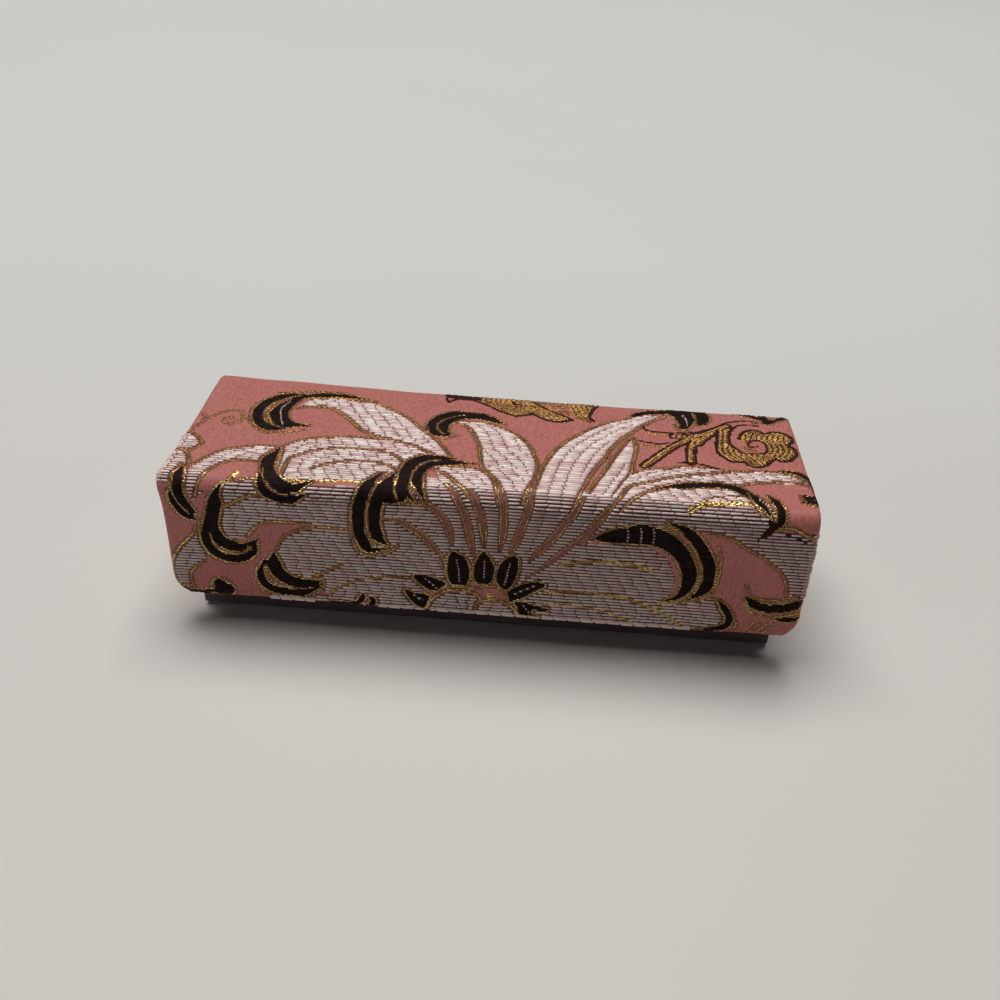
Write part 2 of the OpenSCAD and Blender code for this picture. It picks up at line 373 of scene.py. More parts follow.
# The pale bands at the left and the right, which run over the edge, with their gilt lines
for edge, closing in (
    (
        [(-44.7, 17.6), (-43.7, 17.9), (-42.7, 18.7), (-41.8, 19.9), (-41.7, 20.5), (-42.3, 21.7),
         (-43, 22.3)],
        [(-46, 22.5), (-46, 17)],
    ),
    (
        [(-45.3, 21.8), (-44.3, 22), (-43, 22.8), (-42.3, 24), (-41.8, 25.5), (-41.9, 27)],
        [(-42.2, 29.5), (-46, 29.5), (-46, 21.8)],
    ),
    (
        [(-41.5, 26), (-40.5, 24.5), (-39.5, 23), (-38, 21.5), (-36, 20.6), (-34, 20), (-32, 19.8),
         (-30, 20)],
        [(-30, 24), (-31, 29), (-38, 29.8), (-40, 32), (-40.6, 31.5), (-41.2, 29)],
    ),
    (
        [(-29.6, 27.5), (-29.5, 24), (-29.8, 21), (-30, 20), (-29.3, 19), (-28, 18), (-26, 17),
         (-24, 16.5), (-21, 16.1), (-18, 15.9), (-15.5, 16), (-13.5, 16.6), (-11.5, 17.3), (-10, 18.3),
         (-8.5, 19.5)],
        [(-8, 20.5), (-12, 24), (-13, 27.7), (-28, 28.2)],
    ),
    (
        [(19.8, 21.2), (21.5, 20), (23.3, 19.4), (25.5, 19), (27, 18.4), (31, 18.3), (34, 18.6),
         (36.5, 18.5), (39, 18.2), (41, 18.4), (43, 19.3), (44.5, 20.8), (45.3, 22)],
        [(44, 21.4), (38.5, 21.6), (34.5, 22.9), (30, 23.2), (23.5, 25), (20, 28), (18, 30), (17, 28)],
    ),
):
    lid_draft.lobe(edge, closing)
lid_draft.fill(GROUND, [
    (-38.3, 26), (-37, 24.9), (-36, 24.4), (-32, 24), (-31, 25.5), (-31, 30.3), (-39.7, 30.3),
    (-39.3, 28.3), (-38.8, 27),
])
lid_draft.fill(PALE, [(-36.4, 30.6), (-35.3, 29), (-33.4, 28.2), (-31, 28), (-31, 31), (-36, 33)])
lid_draft.fill(PALE, [(-25, 28.9), (-17, 28.6), (-15, 29), (-16, 31.5), (-26, 31.5)])
lid_draft.fill(PALE, [(16.3, 28.3), (18.5, 27.3), (20, 29), (19, 31.5), (16.8, 30.5)])
lid_draft.lines(
    GOLD,
    (0.42, [(-39.8, 31.3), (-39.3, 29), (-38.8, 27.4), (-38, 25.9), (-37, 25), (-36, 24.3), (-34, 24),
        (-32, 24)]),
    (0.35, [(-42.7, 25.6), (-42.9, 27), (-43.2, 28.6)]),
    (1.2, [(-34.4, 26.8), (-34.7, 27.6), (-35.4, 28.7), (-36.5, 29.6), (-37.2, 30.6)]),
    (0.4, [(-34.6, 28.9), (-33, 28.3), (-31.3, 28.2)]),
    (0.4, [(-28.3, 27.5), (-28.3, 24), (-28, 22.5), (-26.5, 21.3), (-25, 20.3), (-22.5, 19.5),
        (-20, 19.3), (-17, 19.4), (-15, 19.8), (-13.5, 20.5), (-12, 22.3)]),
    (0.4, [(-24.5, 25), (-23, 24), (-21, 23), (-18.5, 22.5), (-16, 22.6), (-14, 23.2), (-13, 24)]),
    (0.8, [(-28, 28.1), (-24, 28.2), (-20.5, 27.7), (-17.5, 27.7)]),
    (0.45, [(18, 28.3), (19.5, 25), (21, 24), (23, 23), (25, 21.9), (27, 21), (29, 20.3), (31, 19.8),
        (33, 19.2), (35, 18.7), (37, 18.2)]),
    (0.42, [(18.5, 30), (20, 28), (22, 26), (23.5, 25), (27, 23.7), (30, 23.1), (33, 22.9),
        (34.5, 22.7), (36.5, 22), (38.5, 21.5), (40, 21.2), (42.5, 21), (44.5, 21.5)]),
)
lid_draft.fill(PALE, [
    (18, 30.5), (22, 26.5), (25, 25), (33, 24), (36.5, 26.5), (38.5, 29.2), (39, 31.7), (30, 32.3),
    (20, 31.8),
])
lid_draft.lines(
    GOLD,
    (1.5, [(27.6, 29.3), (28.4, 28.7), (30, 28.1), (33, 27.6), (35.6, 27.2), (36.6, 28.7)]),
    (0.65, [(29, 28), (30, 26.9), (31, 26.3), (33, 25.8), (35.3, 25.8)]),
)

# The fan of narrow petals that crosses the fold, and the line between each two: gilt edged with browner
# ground, partly painted shade, round a middle darkened as painted shade between the raised petals
lid_draft.fill(PALE, [
    (-8.5, 24), (-7, 22.7), (-3, 22.3), (0, 24), (2, 28), (2.3, 30), (5.2, 30), (6, 27), (12, 30.5),
    (13.3, 27), (17, 29.5), (20, 31.5), (18, 33.5), (13, 36), (8, 41.5), (6, 43.5), (-6, 43.5),
    (-9, 40), (-14, 37), (-14, 31), (-11, 30), (-9, 29),
])
lid_draft.fill(GROUND, [(-8.5, 24.2), (-7.7, 24), (-6.9, 24.8), (-6.8, 25.6), (-7.8, 26)])
lid_draft.fill(BLACK, [(-13.4, 27.4), (-11.3, 27.6), (-10.8, 30.4), (-13.6, 30.8)])
lid_draft.lines(
    GOLD,
    (0.4, [(-7, 22.7), (-5, 22.3), (-3, 22.3), (-1.5, 22.8), (0, 24), (1, 26), (1.5, 28), (1.9, 30)]),
    (0.5, [(-7.5, 23.7), (-6, 24.5), (-4.8, 25.8), (-3.9, 27), (-3, 28), (-2, 29.2)]),
    (0.5, [(-5.4, 27.2), (-4.4, 28.4), (-3.9, 29.4)]),
)
FAN = [
    [(-14, 33.3), (-12, 33.5), (-10.5, 34.5), (-9, 35.5), (-7.8, 36.8), (-6.8, 38.3), (-6, 39.8),
     (-5.3, 42.5)],
    [(-11, 30.6), (-8, 30.8), (-6.8, 31.5), (-5.8, 32.8), (-5.2, 34), (-4.8, 35.5), (-4.6, 37)],
    [(-5, 27.7), (-4.5, 28.7), (-3.8, 30), (-3, 31.5), (-2.6, 33), (-2.3, 34.5), (-1.9, 36.5),
     (-1.6, 38.5)],
    [(-2.4, 28), (-1.8, 29), (-1.3, 30.3), (-0.7, 31.7), (-0.4, 33.5), (-0.2, 35), (-0.1, 37)],
    [(1.6, 27.2), (1.9, 28.5), (2.3, 30), (2.5, 32.5), (2.4, 35), (2.1, 37.5)],
    [(6.3, 27), (6, 28.5), (5.7, 30.5), (5.4, 32), (5, 33.5), (4.6, 35), (4.1, 36.5), (3.6, 38)],
    [(13.2, 28), (12.5, 29.5), (11.7, 31), (10.7, 32.5), (9.9, 34), (9, 35.3), (8, 36.7), (7.2, 37.7),
     (6.3, 39)],
    [(17.6, 28.4), (16.5, 29.8), (15.6, 31), (14.8, 32.5), (14, 33.7), (13, 35), (12, 36), (11, 37.2),
     (9.5, 38.7), (8, 40.5), (6, 42)],
]
for stem in FAN:
    beside = [(u + 0.3, v) for u, v in stem]
    lid_draft.line(BROWN_SHADE, 1.3, beside, tips=(0.4, 0.4))
    lid_draft.line(GOLD, 1.5, beside, tips=(0.4, 0.4))
    lid_draft.line(SHADED_GROUND, 0.62, beside, tips=(0.3, 0.3))

# The broad petals of the flap
lid_draft.fill(PALE, [
    (-36, 33.2), (-34, 31.8), (-31, 30.6), (-26, 30), (-18, 30), (-18, 35.4), (-31, 35.2), (-33, 38),
    (-36.6, 38.8), (-37, 35),
])
lid_draft.fill(PALE, [
    (-23.5, 35.5), (-26, 36.3), (-27.7, 37.3), (-28.5, 38.3), (-29, 39.5), (-29.7, 40.5), (-29.5, 44),
    (-27, 45.3), (-24, 45), (-22, 47.5), (-31, 48.4), (-31, 50), (-8, 50), (-9, 46), (-6, 43), (-6, 39),
    (-14, 34), (-18, 35.4),
])
lid_draft.fill(PALE, [
    (13, 35.6), (22, 34.9), (25.5, 37), (26.8, 40), (26.9, 42), (26, 43.8), (31.5, 43.2), (33.2, 43.3),
    (34.7, 45.3), (35.2, 46.5), (34, 48.3), (32.5, 50), (3, 50), (5, 46), (6, 42.5), (10, 39),
])
lid_draft.fill(PALE, [
    (28, 30.2), (37, 30), (40, 31.5), (46, 31.6), (46, 42.2), (42.4, 42), (42, 40), (41.3, 38.5),
    (40, 37.2), (38, 35.7), (36, 34.6), (34, 33.3), (32, 32.6), (28, 31.6),
])
lid_draft.lobe(
    [(-40.3, 36.5), (-41, 38), (-42.3, 39.5), (-43.5, 41), (-44.5, 43), (-44.8, 45), (-44.5, 47)],
    [(-42.2, 47.5), (-42, 45), (-39.6, 42.6), (-39.6, 38)],
)
lid_draft.lines(
    GOLD,
    (0.42, [(-36, 33), (-34, 31.8), (-32.5, 31), (-31, 30.6)]),
    (0.42, [(-33, 37.6), (-32, 36.3), (-30.5, 35.3), (-29, 34.9), (-26, 35.1), (-23, 35.4),
        (-18.5, 35.6)]),
)
lid_draft.fill(GROUND, [
    (-31.5, 36), (-29.5, 35.4), (-25, 35.5), (-28.5, 37.8), (-30.5, 41), (-33, 44), (-33, 40),
])
lid_draft.lines(
    GOLD,
    (0.42, [(-23.5, 35.5), (-26, 36.3), (-27.7, 37.3), (-28.5, 38.3), (-29, 39.5), (-29.7, 40.5)]),
    (0.75, [(-22, 47.5), (-21, 46.3), (-19.5, 45.3), (-17.5, 44.3), (-15, 43.7), (-12.5, 43.3),
        (-10.5, 43.3)]),
    (0.3, [(-24, 44.3), (-22, 43), (-20, 41.8)]),
    (0.4, [(-39.7, 42.8), (-41, 43.8), (-42, 45), (-42.2, 46.5), (-42, 48)]),
    (1.0, [(11, 39.2), (12.5, 38.9), (14, 38.5), (16, 38.2), (18, 38.1), (20, 38.3), (21.8, 38.6),
        (23.5, 39.2)]),
    (0.9, [(9, 44.3), (11.5, 43.7), (14, 43.6), (17, 43.9), (20, 44.2), (22.5, 45), (25, 46),
        (27, 47.2), (28.5, 48.5)]),
    (0.9, [(25, 44.6), (27.5, 44.3), (30, 43.8), (31.5, 43.2), (33, 43.2)]),
    (0.6, [(9, 46.3), (12, 46), (16, 46.6), (19, 47.2), (21.5, 48.3)]),
    (0.4, [(36, 46.5), (36.3, 47.5), (35.7, 48.3)]),
    (0.5, [(39.8, 31), (41.2, 30.8), (42.6, 31.4), (44, 32.2), (45.5, 33)]),
    (0.42, [(30.3, 32.5), (32, 32.6), (34, 33.3), (36, 34.6), (38, 35.7), (40, 37.2), (41.3, 38.5),
        (42, 40), (42.4, 42)]),
)
lid_draft.crescents(
    (0.7, [(33.2, 43.3), (34, 44.3), (34.7, 45.3), (35.2, 46.5), (35, 47.6), (34, 48.3), (32.5, 48.7),
        (30.5, 48.8)]),
)
lid_draft.line(MAROON, 0.3, [(40.6, 31.9), (42, 32.2), (43.4, 32.9)])

# Black horns at the ends of the petals of the top: their bands, the gilt lines between and
# round them, and single pale wefts that show on the black
lid_draft.crescents(
    (1.2, [(-30.5, 4.3), (-33, 5.2), (-35, 7), (-36, 9.5), (-35.8, 12), (-34.5, 14.2), (-32.5, 15),
        (-31, 15)]),
    (1.5, [(-30.3, 20.3), (-30.8, 22.5), (-31, 24), (-30.6, 25.7), (-29.7, 27.5), (-28, 29),
        (-26.3, 29.5), (-23.8, 28.2)]),
    (0.9, [(-31.5, 26.8), (-30.3, 29.8), (-28.5, 30.9), (-26.5, 31.1), (-24.6, 30.2)]),
    (1.0, [(-42.3, 26.3), (-42.3, 28), (-42.2, 29.8), (-42, 31.4), (-41.3, 33), (-40, 34.3)]),
    (0.9, [(-42.8, 30.5), (-43, 31.8), (-42.5, 33.3), (-41.7, 34.5), (-40.3, 35.2)]),
    (0.95, [(-1.8, 6.2), (-5.5, 6), (-7, 6.7), (-8.3, 7.7), (-9.2, 9), (-9.6, 10.5), (-9.5, 12),
        (-8.8, 13.2), (-8, 13.8), (-6.8, 13.9)]),
    (1.25, [(1.2, 9), (0, 8.2), (-1, 7.6), (-2.5, 7.1), (-4.5, 7.2), (-6, 7.8), (-7, 8.8), (-7.7, 10),
        (-7.9, 11.3), (-7.5, 12.5), (-6.5, 13.2)]),
    (0.9, [(20.4, 3.4), (21.5, 2.5), (23, 1.8), (25.2, 1.4), (27, 1.2)]),
    (1.5, [(29.4, 0), (31, 0.8), (31.4, 2), (31.3, 3.4), (30.6, 5)]),
    (1.05, [(23.2, 25), (25, 24.2), (26.5, 23.8), (28, 23.4), (29.5, 23.1), (31, 22.9), (32.5, 22.9),
        (34, 23.4), (35.2, 24.4), (36.5, 25.8), (37.3, 27.3), (38, 28.6), (38.6, 29.8)]),
    (0.8, [(38.4, 24.8), (39.1, 26.4), (39.6, 28), (39.7, 29.6), (39.2, 31)]),
    (1.35, [(-5.1, 20.1), (-8, 20.2), (-9.5, 20.8), (-10.7, 22), (-11.4, 23.5), (-11.5, 25),
        (-11.4, 27), (-11, 28.7), (-9.6, 30.2)]),
    (1.1, [(-2.3, 21.2), (-4.5, 21.3), (-6.3, 21.5), (-7.8, 22), (-9, 23.2), (-9.5, 24.8), (-9.5, 26.5),
        (-9.1, 28), (-8.2, 30)]),
)
lid_draft.shape(BLACK, [
    (-20.5, 4.4), (-23, 3.6), (-27.5, 3.4), (-30, 4.5), (-32.8, 7), (-34.2, 10.3), (-33.8, 12),
    (-32.7, 13.8), (-31.2, 14.6), (-28.8, 14.1), (-27.2, 13.7), (-28.8, 13.5), (-30, 13), (-31, 12),
    (-31.5, 10.5), (-31.5, 9), (-31, 7), (-30, 5.3), (-26, 4.5),
])
lid_draft.shape(BLACK, [
    (25.4, 1.4), (26.4, 0.4), (28.4, 0), (29.5, 0.8), (29.9, 2.5), (29.7, 4.2), (28.9, 6), (27.6, 6.5),
    (27.7, 5), (27.2, 3.2), (26.4, 2),
])
for v in (24.4, 25.3, 26):
    lid_draft.line(BLACK, 0.3, [(43, v), (44, v + 0.1), (45.5, v)])
lid_draft.line(MAROON, 1.0, [(38.4, 29.7), (38.6, 30.8), (38.1, 31.8), (37.1, 32.8)], tips=(0.6, 0.1))
lid_draft.lines(
    GOLD,
    (0.32, [(-31, 4.6), (-33, 6), (-34.3, 8), (-34.8, 10), (-34.3, 12), (-33.2, 13.7), (-31.5, 14.7)]),
    (0.35, [(-34.5, 4.5), (-30, 3.3), (-27, 2.9), (-24, 3.1), (-21, 4.2), (-19, 4.7)]),
    (0.35, [(-36.9, 8), (-37.2, 10.5), (-36.8, 13), (-35.8, 14.5), (-34.2, 16), (-32.5, 16.2),
        (-30, 15.8), (-28, 15)]),
    (0.3, [(-31.3, 25.5), (-30.6, 28), (-29, 29.9), (-27, 30.2), (-25, 29.8)]),
    (0.3, [(-43.5, 30.5), (-43.6, 32.3), (-43, 34)]),
    (0.25, [(-42.9, 29), (-42.9, 31), (-42.3, 32.8), (-41, 34.6)]),
    (0.25, [(-5, 6.8), (-6.5, 7.5), (-8, 9), (-8.7, 10.6), (-8.4, 12), (-7.5, 13.3)]),
    (0.3, [(-10, 11.5), (-9.6, 13.3), (-8.2, 14.4), (-6.8, 14.7), (-5.4, 13.6)]),
    (0.4, [(29.9, 0.6), (30.3, 2.5), (30.2, 4.2), (29.3, 6)]),
    (0.3, [(26.9, 5), (27.2, 6.8), (29, 7)]),
    (0.5, [(35.6, 24.6), (36, 26), (36.4, 27.6), (37.2, 29.2)]),
    (0.3, [(38.3, 25), (38.8, 26.8), (39, 28.4), (38.9, 29.8)]),
    (0.3, [(42.6, 24.2), (42.9, 25.2), (43.4, 26.6), (44.6, 27)]),
    (0.28, [(-7, 21), (-9, 21.7), (-10.2, 24), (-10.4, 26), (-10, 28.5)]),
    (0.6, [(-12.1, 22.5), (-12.4, 24.5), (-12.3, 26.5), (-12.4, 28.4), (-11.9, 30)]),
    (0.4, [(-11.2, 30.5), (-9.5, 30.9), (-7.8, 30.7)]),
)
lid_draft.lines(
    PALE,
    (0.14, [(-32, 6.5), (-32.8, 9.3), (-32.2, 12), (-31.4, 14)]),
    (0.14, [(28.2, 1.8), (28.8, 3.5), (28.8, 5.3)]),
    (0.16, [(36.9, 25.9), (37.6, 27), (38.2, 28.6), (38.4, 29.8)]),
)

# The horns of the fold and the flap, and a last one at the right edge
lid_draft.crescents(
    (1.4, [(-12.6, 24.8), (-13.4, 27), (-13.9, 28.5), (-14.4, 30), (-14.9, 32), (-15.1, 34),
        (-14.9, 35.5), (-14.4, 36.8), (-13.3, 37.8)]),
    (1.3, [(-14.6, 25), (-15.6, 27), (-16.2, 28.5), (-16.8, 30.5), (-17.2, 32), (-17.3, 34),
        (-17.2, 36), (-16.6, 37.7), (-15.8, 38.8), (-13.6, 38.6)]),
    (1.6, [(-36.3, 29.4), (-37, 31), (-37.3, 32.5), (-37.7, 34), (-38, 35.5), (-38, 37), (-37.5, 38.3),
        (-36.7, 39.2), (-35.5, 39.7), (-34.3, 39.8), (-32.5, 38.7)]),
    (1.0, [(-38.7, 34.6), (-39.2, 37), (-39.2, 38.5), (-38.9, 40), (-38.1, 41.1), (-37, 41.8),
        (-35.7, 42), (-34.3, 41.8), (-33, 41), (-32.3, 40.2), (-31.9, 38.3)]),
    (1.7, [(-29.6, 40.3), (-29.7, 42), (-29.6, 43.2), (-29, 44.3), (-28, 45.1), (-26.7, 45.5),
        (-25, 45.6), (-23.3, 45.2)]),
    (0.95, [(-31.2, 41.9), (-31.8, 44), (-31.8, 45.3), (-31.2, 46.5), (-30.2, 47.1), (-28.5, 47.5),
        (-26.5, 47.5), (-25, 47.1), (-23.2, 46)]),
    (1.4, [(25, 31.1), (27.3, 32.2), (28.5, 33.4), (29.6, 34.8), (30.5, 36.2), (31.2, 37.8),
        (31.4, 39.5), (31.3, 41), (30.5, 42.4), (29.2, 43.6)]),
    (1.05, [(36.9, 42.4), (38.2, 43.6), (40, 44.2), (42.2, 44), (44, 43.3), (45.2, 42.2)]),
    (0.4, [(41.6, 45.9), (43.5, 45.9), (45, 45.4)]),
    (0.6, [(41, 17.7), (43, 18), (44.2, 18.8), (44.9, 20), (45.2, 22), (45.2, 25)]),
)
lid_draft.shape(BLACK, [
    (15.3, 34.4), (17.5, 32.9), (19.5, 32.3), (21.3, 31.7), (23.5, 32.2), (25.3, 32.9), (27, 34.2),
    (28.3, 35.8), (29.3, 37.7), (29.7, 39.5), (29.5, 41.3), (28.7, 42.8), (27.5, 43.8), (25.8, 44.1),
    (27.2, 43.2), (27.7, 42), (27.8, 40.5), (27.5, 38.8), (26.8, 37.3), (25.5, 36), (24, 35.2),
    (22, 34.8), (18, 34.9),
])
lid_draft.lines(
    GOLD,
    (0.3, [(-13.4, 25.5), (-14.8, 28.2), (-15.6, 30.5), (-16.1, 33), (-15.9, 36), (-15, 38)]),
    (0.33, [(-18.2, 33), (-18.4, 36), (-17.7, 39), (-16.3, 39.9), (-14.5, 39.7), (-13, 39),
        (-11.8, 37.8)]),
    (0.3, [(-38.5, 37.5), (-38.3, 39), (-37.5, 40.4), (-36, 41), (-34.2, 41), (-33, 40)]),
    (0.35, [(-39.8, 35.5), (-40, 38.5), (-39.2, 41.4), (-37.5, 42.5), (-35.5, 42.8), (-33.5, 42.3),
        (-31.8, 40.7)]),
    (0.28, [(-31, 43), (-30.8, 44.7), (-30, 46), (-28.3, 46.6), (-26.5, 46.8), (-24.5, 46.4)]),
    (0.33, [(-27.5, 44.4), (-25.5, 44.8), (-23.3, 44.5), (-22.6, 45.2), (-23, 46.4), (-24.5, 48)]),
    (0.33, [(-32.4, 43.3), (-32.5, 46), (-31.8, 47.5), (-31, 48.4)]),
    (0.3, [(24.5, 31.5), (26.3, 32.5), (27.8, 33.8), (29, 35.3), (29.9, 37.3), (30.2, 39.3),
        (29.9, 41.3), (29, 42.8), (28, 43.9)]),
    (0.25, [(32.1, 34.5), (32.7, 37), (32.7, 40), (32.2, 42.3)]),
    (0.33, [(36.7, 40.5), (37.5, 42), (39, 42.7), (42, 42.6), (44, 41.6)]),
    (0.75, [(37, 43.7), (38, 45), (39.5, 45.6), (42, 45.5), (44.5, 44.6)]),
)
for u in (37.5, 38.4, 39.3, 40.2):
    lid_draft.line(GOLD, 0.2, [(u, 48.6), (u + 1.2, 46.9)])
for u in (19.5, 21.3, 23):
    lid_draft.line(PALE, 0.14, [(u, 32.3), (u + 0.25, 33.5), (u + 0.2, 34.7)])

# The curl of thin gilt thread, and the dark curls along the hem
CURL = [
    [(-44, 12.2), (-43.3, 13), (-42.7, 13.3), (-42.2, 12.6), (-41.5, 11.7), (-40.5, 11.1),
     (-39.7, 10.7), (-38.7, 10.9), (-38, 12), (-37.8, 13), (-38.3, 14), (-39.2, 14.6), (-40.2, 14.2),
     (-40.5, 13.3), (-39.8, 12.7), (-39.3, 13)],
    [(-43.3, 13), (-43.3, 14.5), (-43.8, 15.5), (-44.2, 16.8)],
]
for thread in CURL:
    # Browner ground round the gilt curl, partly painted shade of the raised thread
    lid_draft.line(BROWN_SHADE, 0.8, thread)
    lid_draft.line(TAN, 0.3, thread)
lid_draft.crescents(
    (0.6, [(-44.5, 47.3), (-43.3, 48.4), (-42, 48.8), (-40, 48.6), (-38.8, 48)]),
    (0.8, [(-38.8, 47.3), (-38.2, 46.6), (-37.5, 47), (-37.6, 47.8), (-38.3, 48)]),
    (0.5, [(-37, 46.8), (-36.4, 47.3), (-36.4, 48), (-37, 48.6), (-38.5, 48.7)]),
    (0.5, [(-23.5, 49), (-20.5, 48.9), (-18.5, 48.8), (-17.7, 48.4), (-17.2, 47.5), (-17, 46.8)]),
    (0.5, [(-16.3, 47.3), (-15.7, 47.8), (-15.7, 48.5), (-16.5, 48.9)]),
)
lid_draft.line(GOLD, 0.3, [(-39.5, 47.2), (-38.8, 46), (-37.8, 45.7), (-36.7, 46.2), (-36.1, 47.2)])

# The gilt leaf that the back edge cuts, with its dark outline
lid_draft.fill(TAN, [
    (5.5, -1.5), (9.8, -1.5), (10, 1.5), (11, 4.5), (9.9, 5), (8.8, 4), (7.3, 2.8), (5.5, 1),
])
lid_draft.fill(GOLD, [
    (-4, 0), (-3.5, 1.4), (-2.5, 2.6), (0, 4.6), (2.8, 5.9), (5, 4.7), (7.3, 6.5), (9.5, 7),
    (11.3, 6.1), (8.8, 4), (5.5, 1), (5, -1.5), (-4, -1.5),
])
lid_draft.fill(GOLD, [
    (10.1, -1.5), (10.3, 1), (11.3, 4.5), (12.5, 6.2), (14.3, 6.7), (14, 4.3), (14.4, 2), (15, -1.5),
])
lid_draft.fill(MAROON, [(-8.8, -1.5), (-8.4, 1.6), (-6.9, 1.7), (-4.5, 1.4), (-3, 1.6), (-3.6, -1.5)])
lid_draft.lines(
    MAROON,
    (0.5, [(-8.6, -1), (-8.4, 2), (-7.9, 2.9), (-7.6, 2.3), (-6.9, 1.8), (-5.8, 1.5), (-4.5, 1.5)]),
    (0.5, [(-4.5, 1.5), (-2.5, 2.6), (-1.5, 3.3), (0, 4.6), (1, 5.1), (2, 5.7), (2.8, 5.9), (4.5, 5.3),
        (5, 4.7)]),
    (0.55, [(5, 4.7), (5.5, 5.1), (7.3, 6.5), (8.3, 6.9), (9.5, 7), (10.5, 6.6), (11.3, 6.1)]),
    (0.4, [(11.3, 6.1), (10.5, 5.3), (8.8, 4), (7.3, 2.8), (5.5, 1), (4.7, -1)]),
    (0.5, [(2, 1.2), (2.3, 2.1), (3.3, 2)]),
    (0.5, [(15.3, -1), (15.1, 0.8), (14.5, 2), (14, 4.3), (14.2, 5.2), (14.7, 5.9)]),
)

# The gilt scroll like an antler, and the scalloped spiral beside it
lid_draft.fill(TAN, [(22.3, 8.2), (27, 8.5), (27, 9.3), (24, 9.1), (22.3, 8.8)])
BRANCHES = [
    [(26.6, 9.1), (29, 8.9), (31.5, 7.6), (33, 6.3), (34.8, 4.8)],
    [(29, 9.4), (28, 10.5), (26, 12.8), (24, 15.6), (21.9, 18.6)],
    [(30.1, 9), (29.3, 11), (28.8, 13), (28.5, 17)],
    [(32.3, 7.3), (31, 9.2), (30, 11)],
]
for width, yarn in ((1.75, MAROON), (1.35, GOLD)):
    for branch in BRANCHES:
        lid_draft.line(yarn, width, branch)
lid_draft.lines(
    MAROON,
    (0.45, [(22.1, 6.8), (22.6, 7.8), (24.6, 8.1), (27, 7.9), (30, 7.3), (33, 5.4), (34.8, 3.6)]),
    (0.45, [(34.6, 3.7), (36.5, 2.9), (38, 2.5), (39.6, 2.6)]),
    (0.45, [(21.2, 11.3), (22.3, 11.6), (24.3, 11.9), (25.5, 11.4)]),
    (0.45, [(26.7, 17.3), (28.3, 17.2), (30, 17.4), (32.3, 18.3)]),
)
lid_draft.line(GOLD, 0.5, [(39, 2.9), (39.6, 2.9)])
lid_draft.line(TAN, 0.6, [(21.8, 12.6), (23.3, 12.9), (25, 12.7)])
ROUND_THE_SPIRAL = [
    (33.3, 6.5), (33, 8.3), (32.8, 10), (32.6, 11.8), (32.6, 13), (33, 14.2), (33.8, 15.2), (34.5, 16),
    (36.2, 15.7), (36.5, 16.5), (37.5, 17.1), (38.5, 17), (39.5, 16.2), (40.2, 15), (41, 14.4),
    (41.5, 14.8), (42.5, 14.7), (43.5, 13.8), (44.2, 12.5), (44.2, 11), (43.4, 9.9), (44, 9),
    (44.3, 7.8), (43.8, 6.6), (43, 5.9), (42, 5.6), (41.2, 5.9), (40.4, 6.6), (39.8, 5.8), (39, 5.5),
    (38, 5.7), (37.2, 6.3),
]
lid_draft.shape(GOLD, [*ROUND_THE_SPIRAL, (36.6, 7.3), (36, 7), (35.5, 5.7)])
INNER_TURN = [
    (35.1, 7), (34.8, 8.5), (34.8, 10), (35.2, 11.3), (36, 12.4), (36.7, 13.1), (38, 12.9),
    (39.2, 12.8), (39.8, 12.3), (40, 11), (39.9, 9.7), (39.3, 8.9), (38.5, 8.9),
]
lid_draft.shape(
    GROUND, [*INNER_TURN, (37.9, 9.5), (37, 9.8), (36.4, 8.8), (36.3, 7.4), (35.7, 6.2)]
)
lid_draft.fill(TAN, [(36.3, 10.9), (37.2, 10.8), (38.2, 11.6), (38.9, 12.5), (36.9, 12.6)])
lid_draft.line(MAROON, 0.5, [*ROUND_THE_SPIRAL, (36.6, 7.3), (36.3, 8.6)])
lid_draft.line(MAROON, 0.45, [
    (39.6, 3.9), (38, 3.8), (36.5, 4.4), (35.5, 5.7), *INNER_TURN,
    (37.8, 9.4), (37.4, 10.2), (37.8, 10.9), (38.7, 10.7),
])
lid_draft.lines(
    BLACK,
    (0.8, [(36.8, 0.2), (37.6, 0.3), (38.6, 0.6), (40, 1.3)]),
    (0.7, [(40.8, 0.3), (41.2, 1.5), (41, 2.8), (42, 2.3), (42.8, 1.5), (44.8, 0.3)]),
)

# The heart of the flower on the flap: dark petals with a gilt edge round a pale face
HEART = [
    [(-4.9, 41), (-4.6, 38.8), (-4, 38.2), (-3.3, 38.6), (-2.7, 38.9), (-2.1, 40), (-1.8, 41.5),
     (-1.9, 43), (-2.5, 44), (-4.3, 43.8), (-4.8, 42.5)],
    [(-1.1, 41), (-0.7, 39.3), (0.2, 38), (1.2, 39.3), (1.7, 40.7), (1.5, 42.5), (1, 43.3),
     (-0.6, 43.3), (-1.1, 42.3)],
    [(2.1, 42), (2.4, 40.3), (3, 39.2), (4, 38.4), (4.9, 38.6), (5, 40.5), (4.7, 42.3), (4, 43.8),
     (3.3, 44.2), (2.3, 43.2)],
    [(-9.6, 42.8), (-8, 42.7), (-6.5, 43.2), (-5.2, 43.8), (-5.5, 44.5), (-6.5, 45.2), (-7.5, 45.2),
     (-8.5, 44.5), (-9.3, 43.7)],
    [(-11, 45.5), (-9.5, 46), (-7.6, 46.3), (-7.8, 47.5), (-8.2, 48.6), (-9.3, 48.2), (-10.3, 47)],
    [(8.7, 42.7), (8.8, 43.3), (7.5, 44.2), (6.3, 45.2), (5, 45.9), (3.8, 46.3), (3.8, 44.6), (5, 43.5),
     (6.5, 42.8), (7.8, 42.5)],
    [(4.8, 46.3), (6, 46.2), (7.5, 46.7), (9.7, 47.2), (8.7, 47.6), (7.5, 47.3), (7.3, 48.2),
     (8.6, 48.7), (6.8, 48.7), (5.5, 48.5), (5.2, 47.3)],
]
